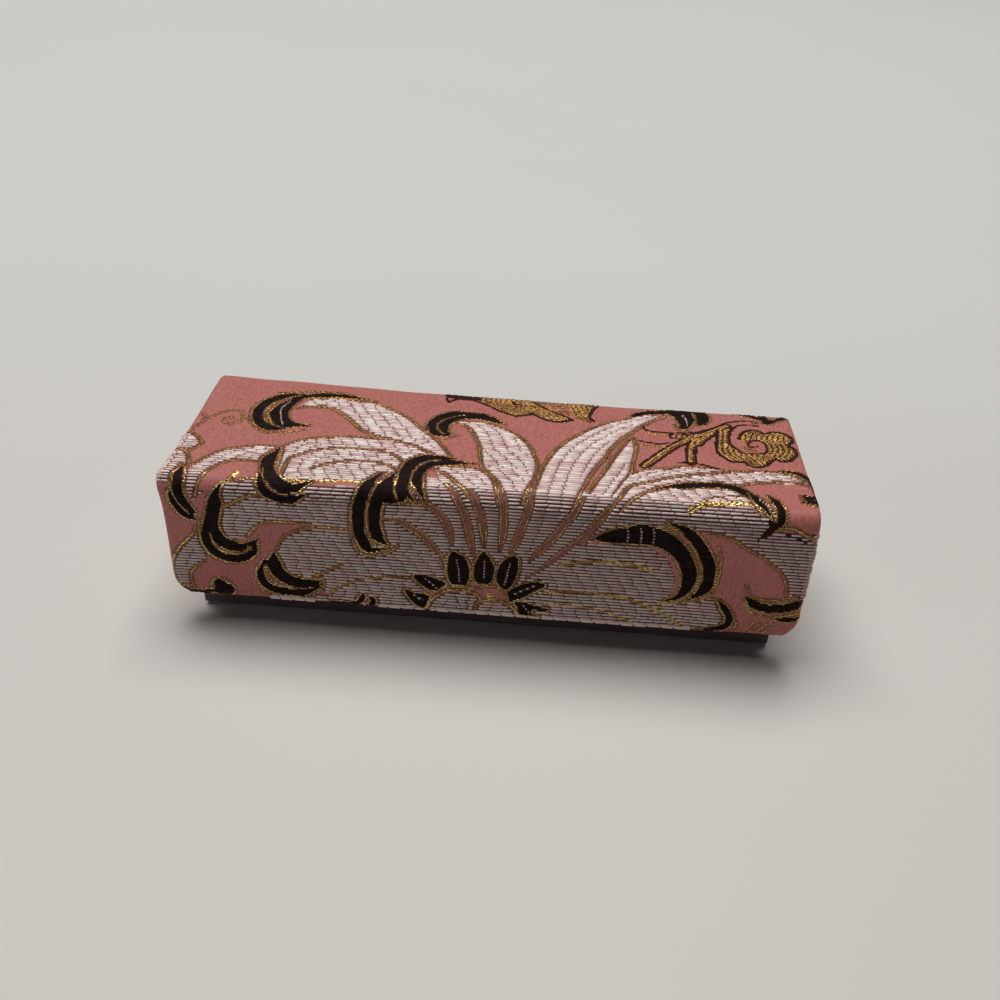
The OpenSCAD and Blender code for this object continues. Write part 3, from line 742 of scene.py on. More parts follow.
for petal in HEART:
    lid_draft.line(GOLD, 0.62, [*petal, petal[0]])
    lid_draft.shape(BLACK, petal)
lid_draft.lines(
    PALE,
    (0.14, [(-3.6, 39.5), (-3.3, 41.5), (-3.2, 43.2)]),
    (0.14, [(0.3, 39.3), (0.3, 42.6)]),
    (0.14, [(3.9, 39.6), (3.5, 42), (3.2, 43.4)]),
    (0.14, [(-8, 43.3), (-7.3, 44), (-6.5, 44.8)]),
    (0.14, [(-9.7, 46.4), (-9, 46.9), (-8.3, 47.3)]),
    (0.14, [(4.7, 44.9), (6, 44.1), (7.5, 43.2)]),
    (0.14, [(5.9, 46.6), (6.4, 47.4), (7, 48.2)]),
)
lid_draft.shape(PALE, [
    (-7.6, 49.5), (-7.2, 47.5), (-6.3, 46.2), (-5, 45.3), (-3.5, 45), (-1.8, 45), (-0.8, 44.3),
    (0.5, 43.7), (2, 43.7), (3, 44.3), (3.7, 45.3), (4.5, 47.5), (5.2, 49.5),
])
lid_draft.shape(GROUND, [
    (-0.9, 44.9), (0, 44), (2, 43.8), (3, 44.5), (3.6, 45.6), (3.4, 46.5), (1, 46.2), (-0.2, 46.2),
])
lid_draft.lines(
    GOLD,
    (0.5, [(-7.8, 48.8), (-7.3, 47.3), (-6.3, 46.2), (-5, 45.3), (-3.5, 45), (-1.8, 45), (-0.7, 45.4),
        (-0.2, 46.2), (-0.4, 47)]),
    (0.5, [(-0.8, 44.4), (0.5, 43.8), (2, 43.8), (3, 44.3), (3.7, 45.3), (3.8, 46.4)]),
    (0.5, [(-0.8, 48), (-0.5, 46.9), (1, 46.3), (2.8, 46.4), (4, 47), (4.8, 47.8), (5.1, 48.6)]),
    (0.3, [(-5.5, 44.6), (-3, 44.3), (-0.5, 44.2)]),
)
lid_draft.fill(GOLD, [(0.7, 45), (1.9, 45), (1.9, 46), (0.8, 46.1)])
# Two short lines of the browner ground, partly painted shade
lid_draft.lines(
    BROWN_SHADE,
    (0.2, [(-3.8, 46), (-3.5, 46.6), (-3.4, 47.2)]),
    (0.2, [(-2.2, 46.9), (-1.9, 47.4), (-2, 48)]),
)
lid_draft.outline_dark()

# The bent board under this cloth, and how cloth lies on a board: over its face, round its
# edges and corners and turned in behind. Old boards waver a little and pull out of true.
WAVES = ((0.55, 0.31, 0.0), (0.23, -0.47, 2.0))
BULGE_V = FOLD_START + 1
BULGE_REACH = 3.5
BULGE_FALL = 16
SLACK = 1e-6


class Section:
    """A line of straight runs with rounded corners, and the way that faces out along it."""

    def __init__(self, corners, radii, outward):
        ends = [np.array(corner, float) for corner in corners]
        runs = [(b - a) / np.linalg.norm(b - a) for a, b in zip(ends, ends[1:])]
        headings = np.unwrap([math.atan2(run[1], run[0]) for run in runs])
        points, turns = [ends[0]], [headings[0]]
        for corner, radius, arrive, leave, first, last in zip(
            ends[1:], radii, runs, runs[1:], headings, headings[1:]
        ):
            centre = corner + radius * (leave - arrive)
            for share in np.linspace(0, 1, 17):
                angle = share * math.pi / 2
                points.append(centre - radius * (leave * math.cos(angle) - arrive * math.sin(angle)))
                turns.append(first + share * (last - first))
        points.append(ends[-1])
        turns.append(headings[-1])
        self.points = np.array(points)
        self.turns = np.array(turns) + outward * math.pi / 2
        self.s = np.concatenate([[0], np.cumsum(np.hypot(*np.diff(self.points, axis=0).T))])
        self.length = self.s[-1]
        self.outward = outward

    def at(self, s):
        """A place on the line, and the way that faces out there."""
        a = np.interp(s, self.s, self.points[:, 0])
        b = np.interp(s, self.s, self.points[:, 1])
        turn = np.interp(s, self.s, self.turns)
        return a, b, np.cos(turn), np.sin(turn)


class Panel:
    """A board in cloth: its outline in the cloth's own u and v, and the section it follows."""

    def __init__(
        self, section, half, thick, edge, corners, along="X", middle=0.0, waver=0.0, warp=None
    ):
        self.section = section
        self.half = half
        self.length = section.length
        self.thick = thick
        self.edge = edge
        self.corners = corners
        self.along = along
        self.middle = middle
        self.waver = waver
        self.warp = warp
        self.outward = section.outward if along == "X" else -section.outward
        self.low = section.points[:, 1].min()
        self.high = section.points[:, 1].max()

    def half_at(self, w):
        """Half of the width at w, less where the two corners at an end are round."""
        w = np.asarray(w, float)
        back, front = self.corners
        cut = np.zeros_like(w)
        for radius, inside in ((back, w), (front, self.length - w)):
            d = np.clip(radius - inside, 0, radius)
            cut += radius - np.sqrt(radius**2 - d**2)
        return self.half - cut

    def stand(self, x, w, height, lean=0.0):
        """Points at (x, w) of the section, raised by a height and leant out by lean."""
        a, b, na, nb = self.section.at(w)
        height = height + self.waver * sum(np.sin(p * x + q * w + r) for p, q, r in WAVES)
        a = a + na * height
        b = b + nb * height
        if self.warp:
            left, right, sag, bulge = self.warp
            end = x / self.half
            share = np.clip((b - self.low) / (self.high - self.low), 0, 1)
            share = share * np.clip(1 + height / self.thick, 0, 1)
            twist = np.where(end < 0, left, right) * end * a / BACK_Y
            b = b - share * (twist + sag * (1 - end**2) * np.clip(a / BACK_Y, 0, 1))
            near = np.exp(-(((w - BULGE_V) / BULGE_REACH) ** 2))
            x = x - bulge * np.clip(-end, 0, 1) ** BULGE_FALL * near
        if self.along == "X":
            return np.stack([x + lean + self.middle, a, b], -1)
        return np.stack([a, x + lean + self.middle, b], -1)

    def over_edge(self, past):
        """Cloth that runs past the start of an edge: its reach out, its depth and its tilt."""
        r = self.edge
        rise = max(self.thick - 2 * r, 0.0)
        first = np.clip(past / r, 0, math.pi / 2)
        flat = np.clip(past - r * math.pi / 2, 0, rise)
        second = np.clip((past - r * math.pi / 2 - rise) / r, 0, math.pi / 2)
        beyond = np.clip(past - r * math.pi - rise, 0, None)
        reach = r * np.sin(first) - r * (1 - np.cos(second)) - beyond
        depth = r * (1 - np.cos(first)) + flat + r * np.sin(second)
        return reach, depth, first + second

    def lay(self, u, v, height):
        """Where a point of the flat cloth comes to lie, raised by a height."""
        w = np.clip(v, self.edge, self.length - self.edge)
        start = self.half_at(w) - self.edge
        past_u = np.clip(np.abs(u) - start, 0, None)
        past_v = np.abs(v - w)
        reach_u, depth_u, tilt_u = self.over_edge(past_u)
        reach_v, depth_v, tilt_v = self.over_edge(past_v)
        side_u = np.sign(u)
        side_v = np.sign(v - w)
        x = side_u * (np.minimum(np.abs(u), start) + reach_u)
        w = w + side_v * reach_v
        rise = height * np.cos(tilt_u) * np.cos(tilt_v) - depth_u - depth_v
        lean = side_u * height * np.sin(tilt_u)
        return self.stand(x, w + side_v * height * np.sin(tilt_v), rise, lean)


def quads(*corners):
    """Faces from four arrays of their corners' numbers."""
    return np.stack(corners, -1).reshape(-1, 4)


def mesh_piece(name, points, faces, finishes, which=None):
    """A mesh from points in millimetres. Which gives each face its finish."""
    mesh = bpy.data.meshes.new(name)
    mesh.from_pydata((np.asarray(points) * MM).tolist(), [], np.asarray(faces).tolist())
    for finish in finishes:
        mesh.materials.append(finish.material)
    if which is not None:
        mesh.polygons.foreach_set("material_index", np.asarray(which, np.int32))
    mesh.polygons.foreach_set("use_smooth", np.ones(len(mesh.polygons), bool))
    mesh.update()
    piece = bpy.data.objects.new(name, mesh)
    bpy.context.scene.collection.objects.link(piece)
    return piece


def backing(draft, u, v):
    """Which ground lies there: plain, under floats (under pale ones partly painted shade), painted
    shade between petals, or beside a line (partly painted shade).
    """
    under = np.array([0, 1, 2, 3, 2, 0, 4, 5])
    return under[draft.at(u, v)]


def cover(name, panel, cell, turned, finishes, draft=None, sunk=0.0):
    """Cloth over a panel: its face, its edges all round, and what is turned in or closes it."""
    edge, length = panel.edge, panel.length
    first = math.floor(edge / cell[1]) + 1
    last = math.ceil((length - edge) / cell[1])
    rows = np.concatenate([[edge], np.arange(first, last) * cell[1], [length - edge]])
    columns = np.linspace(-1, 1, round(2 * panel.half / cell[0]) + 1)
    x = columns[None, :] * (panel.half_at(rows) - edge)[:, None]
    w = np.repeat(rows[:, None], len(columns), 1)
    number = np.arange(x.size).reshape(x.shape)
    points = [panel.stand(x, w, -sunk).reshape(-1, 3)]
    faces = [quads(number[:-1, :-1], number[1:, :-1], number[1:, 1:], number[:-1, 1:])]
    if draft:
        middle = (x[:-1, :-1] + x[1:, 1:]) / 2, (w[:-1, :-1] + w[1:, 1:]) / 2
        kinds = [backing(draft, *middle).ravel()]
    else:
        kinds = [np.zeros(len(faces[0]), int)]

    # The loop round the face, and the way out from it at each of its points
    loop = np.concatenate([number[0, :-1], number[:-1, -1], number[-1, :0:-1], number[:0:-1, 0]])
    lx, lw = x.ravel()[loop], w.ravel()[loop]
    sides = [len(columns) - 1, len(rows) - 1] * 2
    out_x = np.repeat([0.0, 1.0, 0.0, -1.0], sides)
    out_w = np.repeat([-1.0, 0.0, 1.0, 0.0], sides)
    for radius, end in zip(panel.corners, (0.0, length)):
        cx = panel.half - radius
        round_part = (np.abs(lx) >= cx - SLACK) & (np.abs(lw - end) <= radius + SLACK)
        dx = (np.abs(lx) - cx) * np.sign(lx)
        dw = lw - abs(end - radius)
        size = np.maximum(np.hypot(dx, dw), SLACK)
        out_x = np.where(round_part, dx / size, out_x)
        out_w = np.where(round_part, dw / size, out_w)
    ring, count = loop, x.size

    def add_ring(ring_x, ring_w, height):
        nonlocal ring, count
        points.append(panel.stand(ring_x, ring_w, height))
        now = count + np.arange(len(loop))
        faces.append(quads(np.roll(ring, -1), np.roll(now, -1), now, ring))
        kinds.append(np.zeros(len(loop), int))
        ring = now
        count += len(loop)

    arc = edge * math.pi / 2
    rise = max(panel.thick - 2 * edge, 0.0)
    first_bend = [arc / 3, arc * 2 / 3, arc]
    second_bend = [arc + rise, arc * 4 / 3 + rise, arc * 5 / 3 + rise, 2 * arc + rise]
    for past in first_bend + second_bend:
        reach, depth, tilt = panel.over_edge(past)
        ring_x = lx + out_x * reach - out_x * sunk * math.sin(tilt)
        ring_w = lw + out_w * reach - out_w * sunk * math.sin(tilt)
        add_ring(ring_x, ring_w, -depth - sunk * math.cos(tilt))
    if turned:
        side, back, front = turned
        in_x = np.clip(lx, side - panel.half, panel.half - side)
        in_w = np.clip(lw, back, length - front)
        for share in (0.5, 1.0):
            add_ring(lx + (in_x - lx) * share, lw + (in_w - lw) * share, -panel.thick + sunk)
    else:
        inner = np.full(x.size, -1)
        inner[loop] = ring
        free = inner < 0
        inner[free] = count + np.arange(free.sum())
        inner = inner.reshape(x.shape)
        points.append(panel.stand(x.ravel()[free], w.ravel()[free], -panel.thick + sunk))
        faces.append(quads(inner[:-1, :-1], inner[:-1, 1:], inner[1:, 1:], inner[1:, :-1]))
        kinds.append(np.zeros(len(faces[-1]), int))
    return mesh_piece(name, np.vstack(points), np.vstack(faces), finishes, np.concatenate(kinds))


# The cloth itself: the satin ground, tinted where coloured wefts lie behind it and darkened as painted
# shade between raised floats and beside gilt, and over it every float of pale silk, black silk or gilt
# thread, one by one.
CLOTH_SUNK = 0.07
LEFT_TWIST, RIGHT_TWIST, BACK_SAG, FOLD_BULGE = 0.9, 0.35, 0.35, 0.55
lid_section = Section(
    [(BACK_Y, TOP_Z), (FRONT_Y, TOP_Z), (FRONT_Y, lid_lo.z)], [FOLD_R], outward=-1
)
lid_panel = Panel(
    lid_section,
    half=HALF_L,
    thick=2.0,
    edge=0.6,
    corners=(1.5, 3.5),
    waver=0.03,
    warp=(LEFT_TWIST, RIGHT_TWIST, BACK_SAG, FOLD_BULGE),
)

pink_satin = Finish("pink_satin")
warp_lines = pink_satin.noise((4600.0, 1300.0, 1300.0), 2.0)
wash = pink_satin.noise((120.0, 120.0, 120.0), 3.0)
grain = pink_satin.noise((3600.0, 3600.0, 3600.0), 1.0)
tone = pink_satin.mix((warp_lines * 1.8 - 0.4).clipped(), screen(158, 86, 79), screen(214, 130, 118))
tone = pink_satin.mix((wash * 1.4 - 0.35).clipped() * 0.5, tone, screen(192, 110, 99))
pink_satin.set(
    Base_Color=tone,
    Roughness=warp_lines * 0.25 + 0.45,
    Sheen_Weight=0.1,
    Specular_IOR_Level=0.35,
    Normal=pink_satin.bump(warp_lines * 0.6 + grain * 0.4, 0.00006),
)


def ground_under(name, dark, bright):
    """The ground where floats cover it: its own warp and the back of the coloured wefts, made darker
    under pale floats as painted shade between them.
    """
    finish = Finish(name)
    lines = finish.noise((4200.0, 1500.0, 1500.0), 2.0)
    finish.set(
        Base_Color=finish.mix(lines, screen(*dark), screen(*bright)),
        Roughness=0.75,
        Specular_IOR_Level=0.25,
        Normal=finish.bump(lines, 0.00006),
    )
    return finish


GROUNDS = [
    pink_satin,
    # under pale floats the ground is darkened, partly as painted shade between the floats
    ground_under("ground_under_pale_painted_shade", (66, 36, 36), (114, 67, 66)),
    ground_under("ground_under_dark", (22, 15, 14), (40, 27, 25)),
    ground_under("ground_under_gilt", (84, 50, 34), (128, 82, 56)),
    # painted shade between the raised petals of the fan
    ground_under("ground_painted_shade_between_petals", (120, 68, 64), (172, 108, 102)),
    # browner ground beside lines, partly painted shade of the raised gilt
    ground_under("ground_beside_lines_painted_shade", (104, 62, 42), (168, 112, 84)),
]


# The painted lighter tone of the fold and the flap sets in within a millimetre, this far before the
# middle
FADE = 1500.0
FADE_FROM = 0.0126


def on_top(finish):
    """1 on the case's top and back, 0 on the fold and the flap, where silk and gilt are painted lighter
    as painted highlight and painted light.
    """
    back_by = finish.node("SeparateXYZ", {}, {0: finish.place()}, 1)
    return (back_by * FADE + FADE * FADE_FROM).clipped()


def silk(name, dull, bright, roughness, sheen, gloss, flap_painted_light=None):
    """Floss silk: filaments run along the float, and each float takes the dye a little differently. A
    flap tone, if given, is painted light on the fold and the flap.
    """
    finish = Finish(name)
    dull_tone = screen(*dull)
    # Painted light: on the fold and the flap the dull end of the tone is lighter, lifting the shaded
    # flap
    if flap_painted_light:
        dull_tone = finish.mix(on_top(finish), screen(*flap_painted_light), dull_tone)
    floats = finish.noise((500.0, 1900.0, 1900.0), 1.0)
    filaments = finish.noise((900.0, 14000.0, 14000.0), 1.0)
    finish.set(
        Base_Color=finish.mix((floats * 2.8 - 0.85).clipped(), dull_tone, screen(*bright)),
        Roughness=filaments * 0.2 + roughness,
        Sheen_Weight=sheen,
        Specular_IOR_Level=gloss,
        Normal=finish.bump(filaments, 0.00003),
    )
    return finish


pale_silk = silk("pale_silk", (204, 138, 128), (255, 240, 230), 0.3, 0.25, 0.9, flap_painted_light=(252, 208, 198))
black_silk = silk("black_silk", (20, 11, 9), (44, 27, 22), 0.65, 0.0, 0.08)
maroon_silk = silk("maroon_silk", (44, 16, 12), (70, 30, 20), 0.6, 0.0, 0.1)

gilt_thread = Finish("gilt_thread")
turns = gilt_thread.noise((2600.0, 2600.0, 2600.0), 1.0)
rubbed = gilt_thread.noise((380.0, 380.0, 380.0), 3.0)
rub = (rubbed * 2.4 - 0.8).clipped()
# Painted highlight and painted light: the fold and the flap get a brighter copy of the gilt, the top
# the dull one
fold_and_flap_gilt_painted_light = gilt_thread.mix(rub, screen(168, 126, 62), screen(255, 226, 150))
dull_gilt = gilt_thread.mix(rub, screen(92, 64, 33), screen(146, 106, 58))
gilt_thread.set(
    Base_Color=gilt_thread.mix(on_top(gilt_thread), fold_and_flap_gilt_painted_light, dull_gilt),
    Metallic=0.88,
    Roughness=turns * 0.3 + 0.1,
    Specular_IOR_Level=0.4,
    Normal=gilt_thread.bump(turns, 0.00012),
)

# For each yarn: the longest float, its width and how high it stands above the ground
FLOATS = {
    PALE: (1.9, 0.325, 0.25),
    BLACK: (1.6, 0.27, 0.1),
    GOLD: (0.8, 0.25, 0.13),
    MAROON: (1.1, 0.26, 0.1),
    TAN: (0.45, 0.26, 0.12),
}

# The shortest run that is woven, and what the mitred corners take from the turned-in cloth
SHORTEST = 0.09
MITRE = 0.3

# Where a float is tied down, and how much its ends, height, slant and width vary by chance
BROAD_PETAL = 7
TIE_STEP = 0.22
TIE_SHIFT = 0.85
SLIPS = (-0.07, 0.07)
HEIGHTS = (0.75, 1.1)
SLANTS = (-0.05, 0.03)
WIDTHS = (0.85, 1.05)
chance = np.random.default_rng(7)

# A float's ends: how far they are tucked in, and over what length they dive into the cloth
TUCK = 0.02
DIVE = 0.16
LONGEST_DIVE = 0.34
EDGE_DIVE = 0.22
LOW_END = 0.25
NARROW_END = 0.6


def reach_of(panel, v, turned):
    """How far the cloth reaches from its middle at a weft, round the edge and turned in."""
    side, back, front = turned or (0, 0, 0)
    edge, length = panel.edge, panel.length
    wrap = edge * math.pi + max(panel.thick - 2 * edge, 0.0)
    w = min(max(v, edge), length - edge)
    start = float(panel.half_at(w)) - edge
    past = abs(v - w)
    if past == 0:
        return start + wrap + max(min(side, v, length - v) - edge, 0)
    if past <= wrap:
        return start
    inside = edge + past - wrap
    if inside > (back if v < w else front):
        return 0.0
    return panel.half - inside - MITRE


def first_tie(yarn, row, start, stop):
    """Where the first float of a run is tied down. On broad petals the ties step from row to row."""
    longest = FLOATS[yarn][0]
    if yarn == PALE and stop - start > BROAD_PETAL:
        step = (row // 2 % 3) * TIE_STEP + (row // 6 % 2) * TIE_SHIFT
        return math.ceil((start + 0.5 - step) / longest) * longest + step
    return start + longest * (0.85 + 0.1 * (row // 2 % 2))


def floats_of(panel, draft, yarn, turned):
    """Each float of a yarn: its weft, its two ends, its crest, its width and its slant."""
    longest, width, crest = FLOATS[yarn]
    found = []
    for kind, v, start, stop in draft.runs():
        if kind != yarn:
            continue
        reach = reach_of(panel, v, turned)
        start, stop = max(start, -reach), min(stop, reach)
        row = round(v / WEFT - 0.5)
        if stop - start < SHORTEST or (yarn == PALE and row % 2):
            continue
        tie = first_tie(yarn, row, start, stop)
        at = start
        while stop - at > 0.05:
            end = stop if stop - tie < 0.4 * longest else tie
            slip = chance.uniform(*SLIPS) if end < stop else 0.0
            tall = crest * chance.uniform(*HEIGHTS)
            slant = chance.uniform(*SLANTS) * min(end - at, 1.0)
            wide = width * chance.uniform(*WIDTHS)
            found.append((v, at + TUCK, end + slip - TUCK, tall, wide, slant))
            at, tie = end + slip, tie + longest
    return np.array(found).reshape(-1, 6)


def lay_floats(name, panel, floats, finishes):
    """One mesh of many floats: each is a low ridge that dives into the cloth at its two ends."""
    points, faces, kinds, count = [], [], [], 0
    across = np.array([-0.5, 0.0, 0.5])[None, None, :]
    for index, found in enumerate(floats):
        furthest = np.abs(found[:, 1:3]).max(1)
        bends = furthest > panel.half - 1.5 * panel.edge - 0.2
        for group, stations in ((found[~bends], 4), (found[bends], 9)):
            if not len(group):
                continue
            v, start, stop, tall, wide, slant = group.T[:, :, None, None]
            if stations == 4:
                dive = np.minimum(DIVE / (stop - start), LONGEST_DIVE)
                t = np.stack([0 * dive, dive, 1 - dive, 0 * dive + 1], 1)[:, :, :, 0]
                full = (np.minimum(t, 1 - t) * (stop - start) > SLACK).astype(float)
            else:
                even = np.linspace(0, 1, stations)[None, :, None]
                t = np.broadcast_to(even, (len(group), stations, 1))
                full = np.clip(np.minimum(t, 1 - t) * (stop - start) / EDGE_DIVE, 0, 1)
            u = np.broadcast_to(start + (stop - start) * t, (len(group), stations, 3))
            ridge = tall * (LOW_END + (1 - LOW_END) * full) + TUCK
            height = -CLOTH_SUNK - TUCK + np.where(across == 0, ridge, 0)
            weft = v + slant * (t - 0.5) + across * wide * (NARROW_END + (1 - NARROW_END) * full)
            points.append(panel.lay(u, weft, height).reshape(-1, 3))
            base = count + np.arange(len(group))[:, None, None] * stations * 3
            cell = np.arange(stations - 1)[None, :, None] * 3 + np.arange(2)[None, None, :]
            corner = (base + cell).reshape(-1)
            faces.append(quads(corner, corner + 1, corner + 4, corner + 3))
            kinds.append(np.full(len(corner), index))
            count += len(group) * stations * 3
    if not points:
        return None
    faces = np.vstack(faces)
    if panel.outward < 0:
        faces = faces[:, ::-1]
    return mesh_piece(name, np.vstack(points), faces, finishes, np.concatenate(kinds))


def brocade(name, panel, draft, turned, body, replaced, cell=0.5):
    """One piece of figured cloth on a panel: the ground and its floats of each yarn."""
    ground = cover(name + "_cloth", panel, (cell, WEFT), turned, GROUNDS, draft, CLOTH_SUNK)
    made = [ground]
    for part, yarns, finishes in (
        ("_pale_floats", (PALE,), (pale_silk,)),
        ("_dark_floats", (BLACK, MAROON), (black_silk, maroon_silk)),
        ("_gilt_floats", (GOLD, TAN), (gilt_thread, gilt_thread)),
    ):
        floats = [floats_of(panel, draft, yarn, turned) for yarn in yarns]
        piece = lay_floats(name + part, panel, floats, finishes)
        if piece:
            made.append(piece)
    for piece in made:
        if body:
            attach(piece, body)
    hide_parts(replaced)
    return made


LID_TURNED = (6.6, 6.4, 6.5)
lid_cloth = brocade("lid", lid_panel, lid_draft, LID_TURNED, "lid", "lid_brocade", cell=0.33)


# The lid's board under that cloth: one sheet of greyboard, scored and bent to an L.
# Age has warped it a little, and the cloth over it shows the same warp.
lid_board = cover("lid_board", lid_panel, (1.5, 1.0), None, [greyboard], sunk=0.4)
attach(lid_board, "lid")
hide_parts("lid_shell")


# Black card that levels the inside of the lid between the turned-in edges, and holds the
# place of the mirror. It is thin, cut with a knife, and glued to the board.
black_card = Finish("black_card")
pulp = black_card.noise((1500.0, 1500.0, 1500.0), 4.0)
black_card.set(
    Base_Color=black_card.mix(pulp, screen(34, 31, 30), screen(48, 45, 43)),
    Roughness=pulp * 0.2 + 0.7,
    Normal=black_card.bump(pulp, 0.00005),
)
dress(black_card, "levelling_card")


# The mirror: thin silvered glass with ground edges, held by its frame under the top panel.
# It is wiped clean, with faint smears that only its reflection shows.
mirror_silver = Finish("mirror_silver")
smears = mirror_silver.noise((160.0, 420.0, 160.0), 3.0)
mirror_silver.set(
    Base_Color=mirror_silver.mix(smears, screen(222, 228, 228), screen(232, 237, 236)),
    Metallic=1.0,
    Roughness=(smears * 0.08 - 0.02).clipped() + 0.015,
)
dress(mirror_silver, "mirror_glass")


# The mirror's frame: card covered in dark satin, cut out in one piece and rebated for the glass.
# The satin is turned over its edges and shows a soft shine along its floats.
dark_satin = Finish("dark_satin")
satin_lines = dark_satin.noise((420.0, 6200.0, 6200.0), 2.0)
satin_wash = dark_satin.noise((220.0, 220.0, 220.0), 2.0)
dark_satin.set(
    Base_Color=dark_satin.mix(
        (satin_lines * 1.6 - 0.3).clipped(), screen(56, 40, 40), screen(90, 65, 64)
    ),
    Roughness=satin_lines * 0.2 + satin_wash * 0.15 + 0.3,
    Sheen_Weight=0.25,
    Normal=dark_satin.bump(satin_lines * 0.5 + satin_wash * 0.5, 0.00006),
)


def box_of(node):
    """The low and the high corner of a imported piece, in millimetres."""
    low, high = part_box(node)
    return np.array(low) / MM, np.array(high) / MM


RAIL_WIDTH = 3.0
GAP = 0.1
frame_lo, frame_hi = box_of("mirror_frame")
glass_lo, glass_hi = box_of("mirror_glass")
top, under = frame_hi[2], frame_lo[2]
seat = glass_lo[2] - 0.02
lap = RAIL_WIDTH - (frame_hi[0] - glass_hi[0]) - GAP
RAIL = [
    (0.3, top), (0.08, top - 0.08), (0.0, top - 0.3), (0.0, under + 0.3), (0.09, under + 0.09),
    (0.3, under), (1.5, under), (RAIL_WIDTH - 0.3, under), (RAIL_WIDTH - 0.08, under + 0.08),
    (RAIL_WIDTH, under + 0.25), (RAIL_WIDTH, seat), (RAIL_WIDTH - lap - GAP, seat),
    (RAIL_WIDTH - lap - GAP, top),
]


def swept_frame(name, profile, low, high, step=1.5):
    """A rail's profile of (inset, height) taken round a rectangle, mitred at its corners."""
    (left, near), (right, far) = low[:2], high[:2]
    corners = [(left, near, 1, 1), (right, near, -1, 1), (right, far, -1, -1), (left, far, 1, -1)]
    around = []
    for one, other in zip(corners, corners[1:] + corners[:1]):
        count = max(2, round(math.dist(one[:2], other[:2]) / step))
        for share in np.arange(count) / count:
            around.append([p + (q - p) * share for p, q in zip(one, other)])
    x, y, a, b = np.array(around).T
    points = [np.stack([x + a * inset, y + b * inset, np.full(len(x), z)], -1) for inset, z in profile]
    number = np.arange(len(profile) * len(x)).reshape(len(profile), len(x))
    ahead = np.roll(number, -1, 1)
    over = np.roll(number, -1, 0)
    both = np.roll(ahead, -1, 0)
    return mesh_piece(name, np.vstack(points), quads(number, over, both, ahead), [dark_satin])


mirror_rails = swept_frame("mirror_frame_satin", RAIL, frame_lo, frame_hi)
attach(mirror_rails, "lid")
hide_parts("mirror_frame")


# The satin-covered lining cards: one inside the flap, and five that line the tray.
# Each is thin card with satin drawn over it, so its edges are round and its face is a little soft.
WAVER = 0.02


def satin_card(node, body, facing, corners=(0.3, 0.3)):
    """Dresses a lining card. Facing is the way and the axis that its covered side looks."""
    low, high = box_of(node)
    way = 1 if facing[0] == "+" else -1
    axis = "xyz".index(facing[1])
    across = 1 if axis == 0 else 0
    if axis == 2:
        path, outward = [(high[1], high[2]), (low[1], high[2])], -1
    else:
        face = high[axis] if way > 0 else low[axis]
        path, outward = [(face, high[2]), (face, low[2])], way
    panel = Panel(
        Section(path, [], outward),
        half=(high[across] - low[across]) / 2,
        thick=high[axis] - low[axis],
        edge=0.24,
        corners=corners,
        along="XY"[across],
        middle=(high[across] + low[across]) / 2,
        waver=WAVER,
    )
    piece = cover(node + "_satin", panel, (0.9, 0.9), None, [dark_satin])
    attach(piece, body)
    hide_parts(node)


satin_card("flap_lining", "lid", "+y", corners=(0.3, 2.0))
satin_card("floor_lining", "tray", "+z")
satin_card("front_lining", "tray", "+y")
satin_card("back_lining", "tray", "-y")
satin_card("left_lining", "tray", "+x")
satin_card("right_lining", "tray", "-x")


# The magnets in the flap and the steel keepers in the front wall, small stamped discs.
# The magnets are nickel plated, and the keepers are plain sheet steel with a rolled grain.
nickel = Finish("nickel_plate")
plating = nickel.noise((900.0, 900.0, 900.0), 2.0)
nickel.set(
    Base_Color=nickel.mix(plating, screen(186, 184, 176), screen(206, 204, 198)),
    Metallic=1.0,
    Roughness=plating * 0.15 + 0.2,
)
dress(nickel, "flap_magnets")
sheet_steel = Finish("sheet_steel")
rolled = sheet_steel.noise((200.0, 200.0, 5200.0), 2.0)
sheet_steel.set(
    Base_Color=sheet_steel.mix(rolled, screen(128, 130, 132), screen(158, 160, 162)),
    Metallic=1.0,
    Roughness=rolled * 0.2 + 0.35,
)
dress(sheet_steel, "keeper_plates")


# The tray's brocade: one piece up the back and under the bottom, and one over each end.
# The weaver's flowers run on over it, cut wherever the case needed a seam.
LONG_PETAL = (
    [(-0.9, 4), (-2.2, 8), (-3, 12), (-2.8, 16), (-1.4, 20), (1.2, 23.2), (4.6, 24.6)],
    [(0.9, 4), (1.6, 8), (1.9, 12), (2.2, 15.6), (3.2, 18.8), (4.8, 21), (6.6, 22.4)],
)
CLAWS = (
    (1.0, [(3.2, 27.7), (6.4, 27.7), (9.4, 25.9), (10.4, 22.6), (9.2, 19.6)]),
    (1.7, [(0.4, 24.4), (2.8, 26), (5.8, 26.2), (8.2, 24.4), (8.8, 21.8), (7.6, 19.6)]),
)
HEART_LEAF = [(-0.9, 3.2), (-0.8, 5), (0, 6.6), (0.8, 5), (0.9, 3.2), (0, 2.6)]
FACE, INNER_FACE, EYE = 3.1, 1.7, 0.3
LEAF_TURN = 32.7
SPIRAL_AND_STEMS = (
    [(0, 0), (2.2, 1), (4.4, 0.4), (6, -1.4), (6, -3.8), (4.2, -5.4), (2, -5), (1, -3.2), (1.8, -1.8),
     (3.2, -2)],
    [(0, 0), (-3, -1.6), (-6.4, -1.8)],
    [(-1.6, -0.8), (-3.4, -3.4), (-4.2, -6.6)],
)
LEAF = [
    (0, 0), (2, 1.6), (4.4, 2), (6.4, 3.6), (9, 3.4), (11.4, 1.4), (9.4, -0.2), (6.6, -0.6), (3.2, -0.8)
]


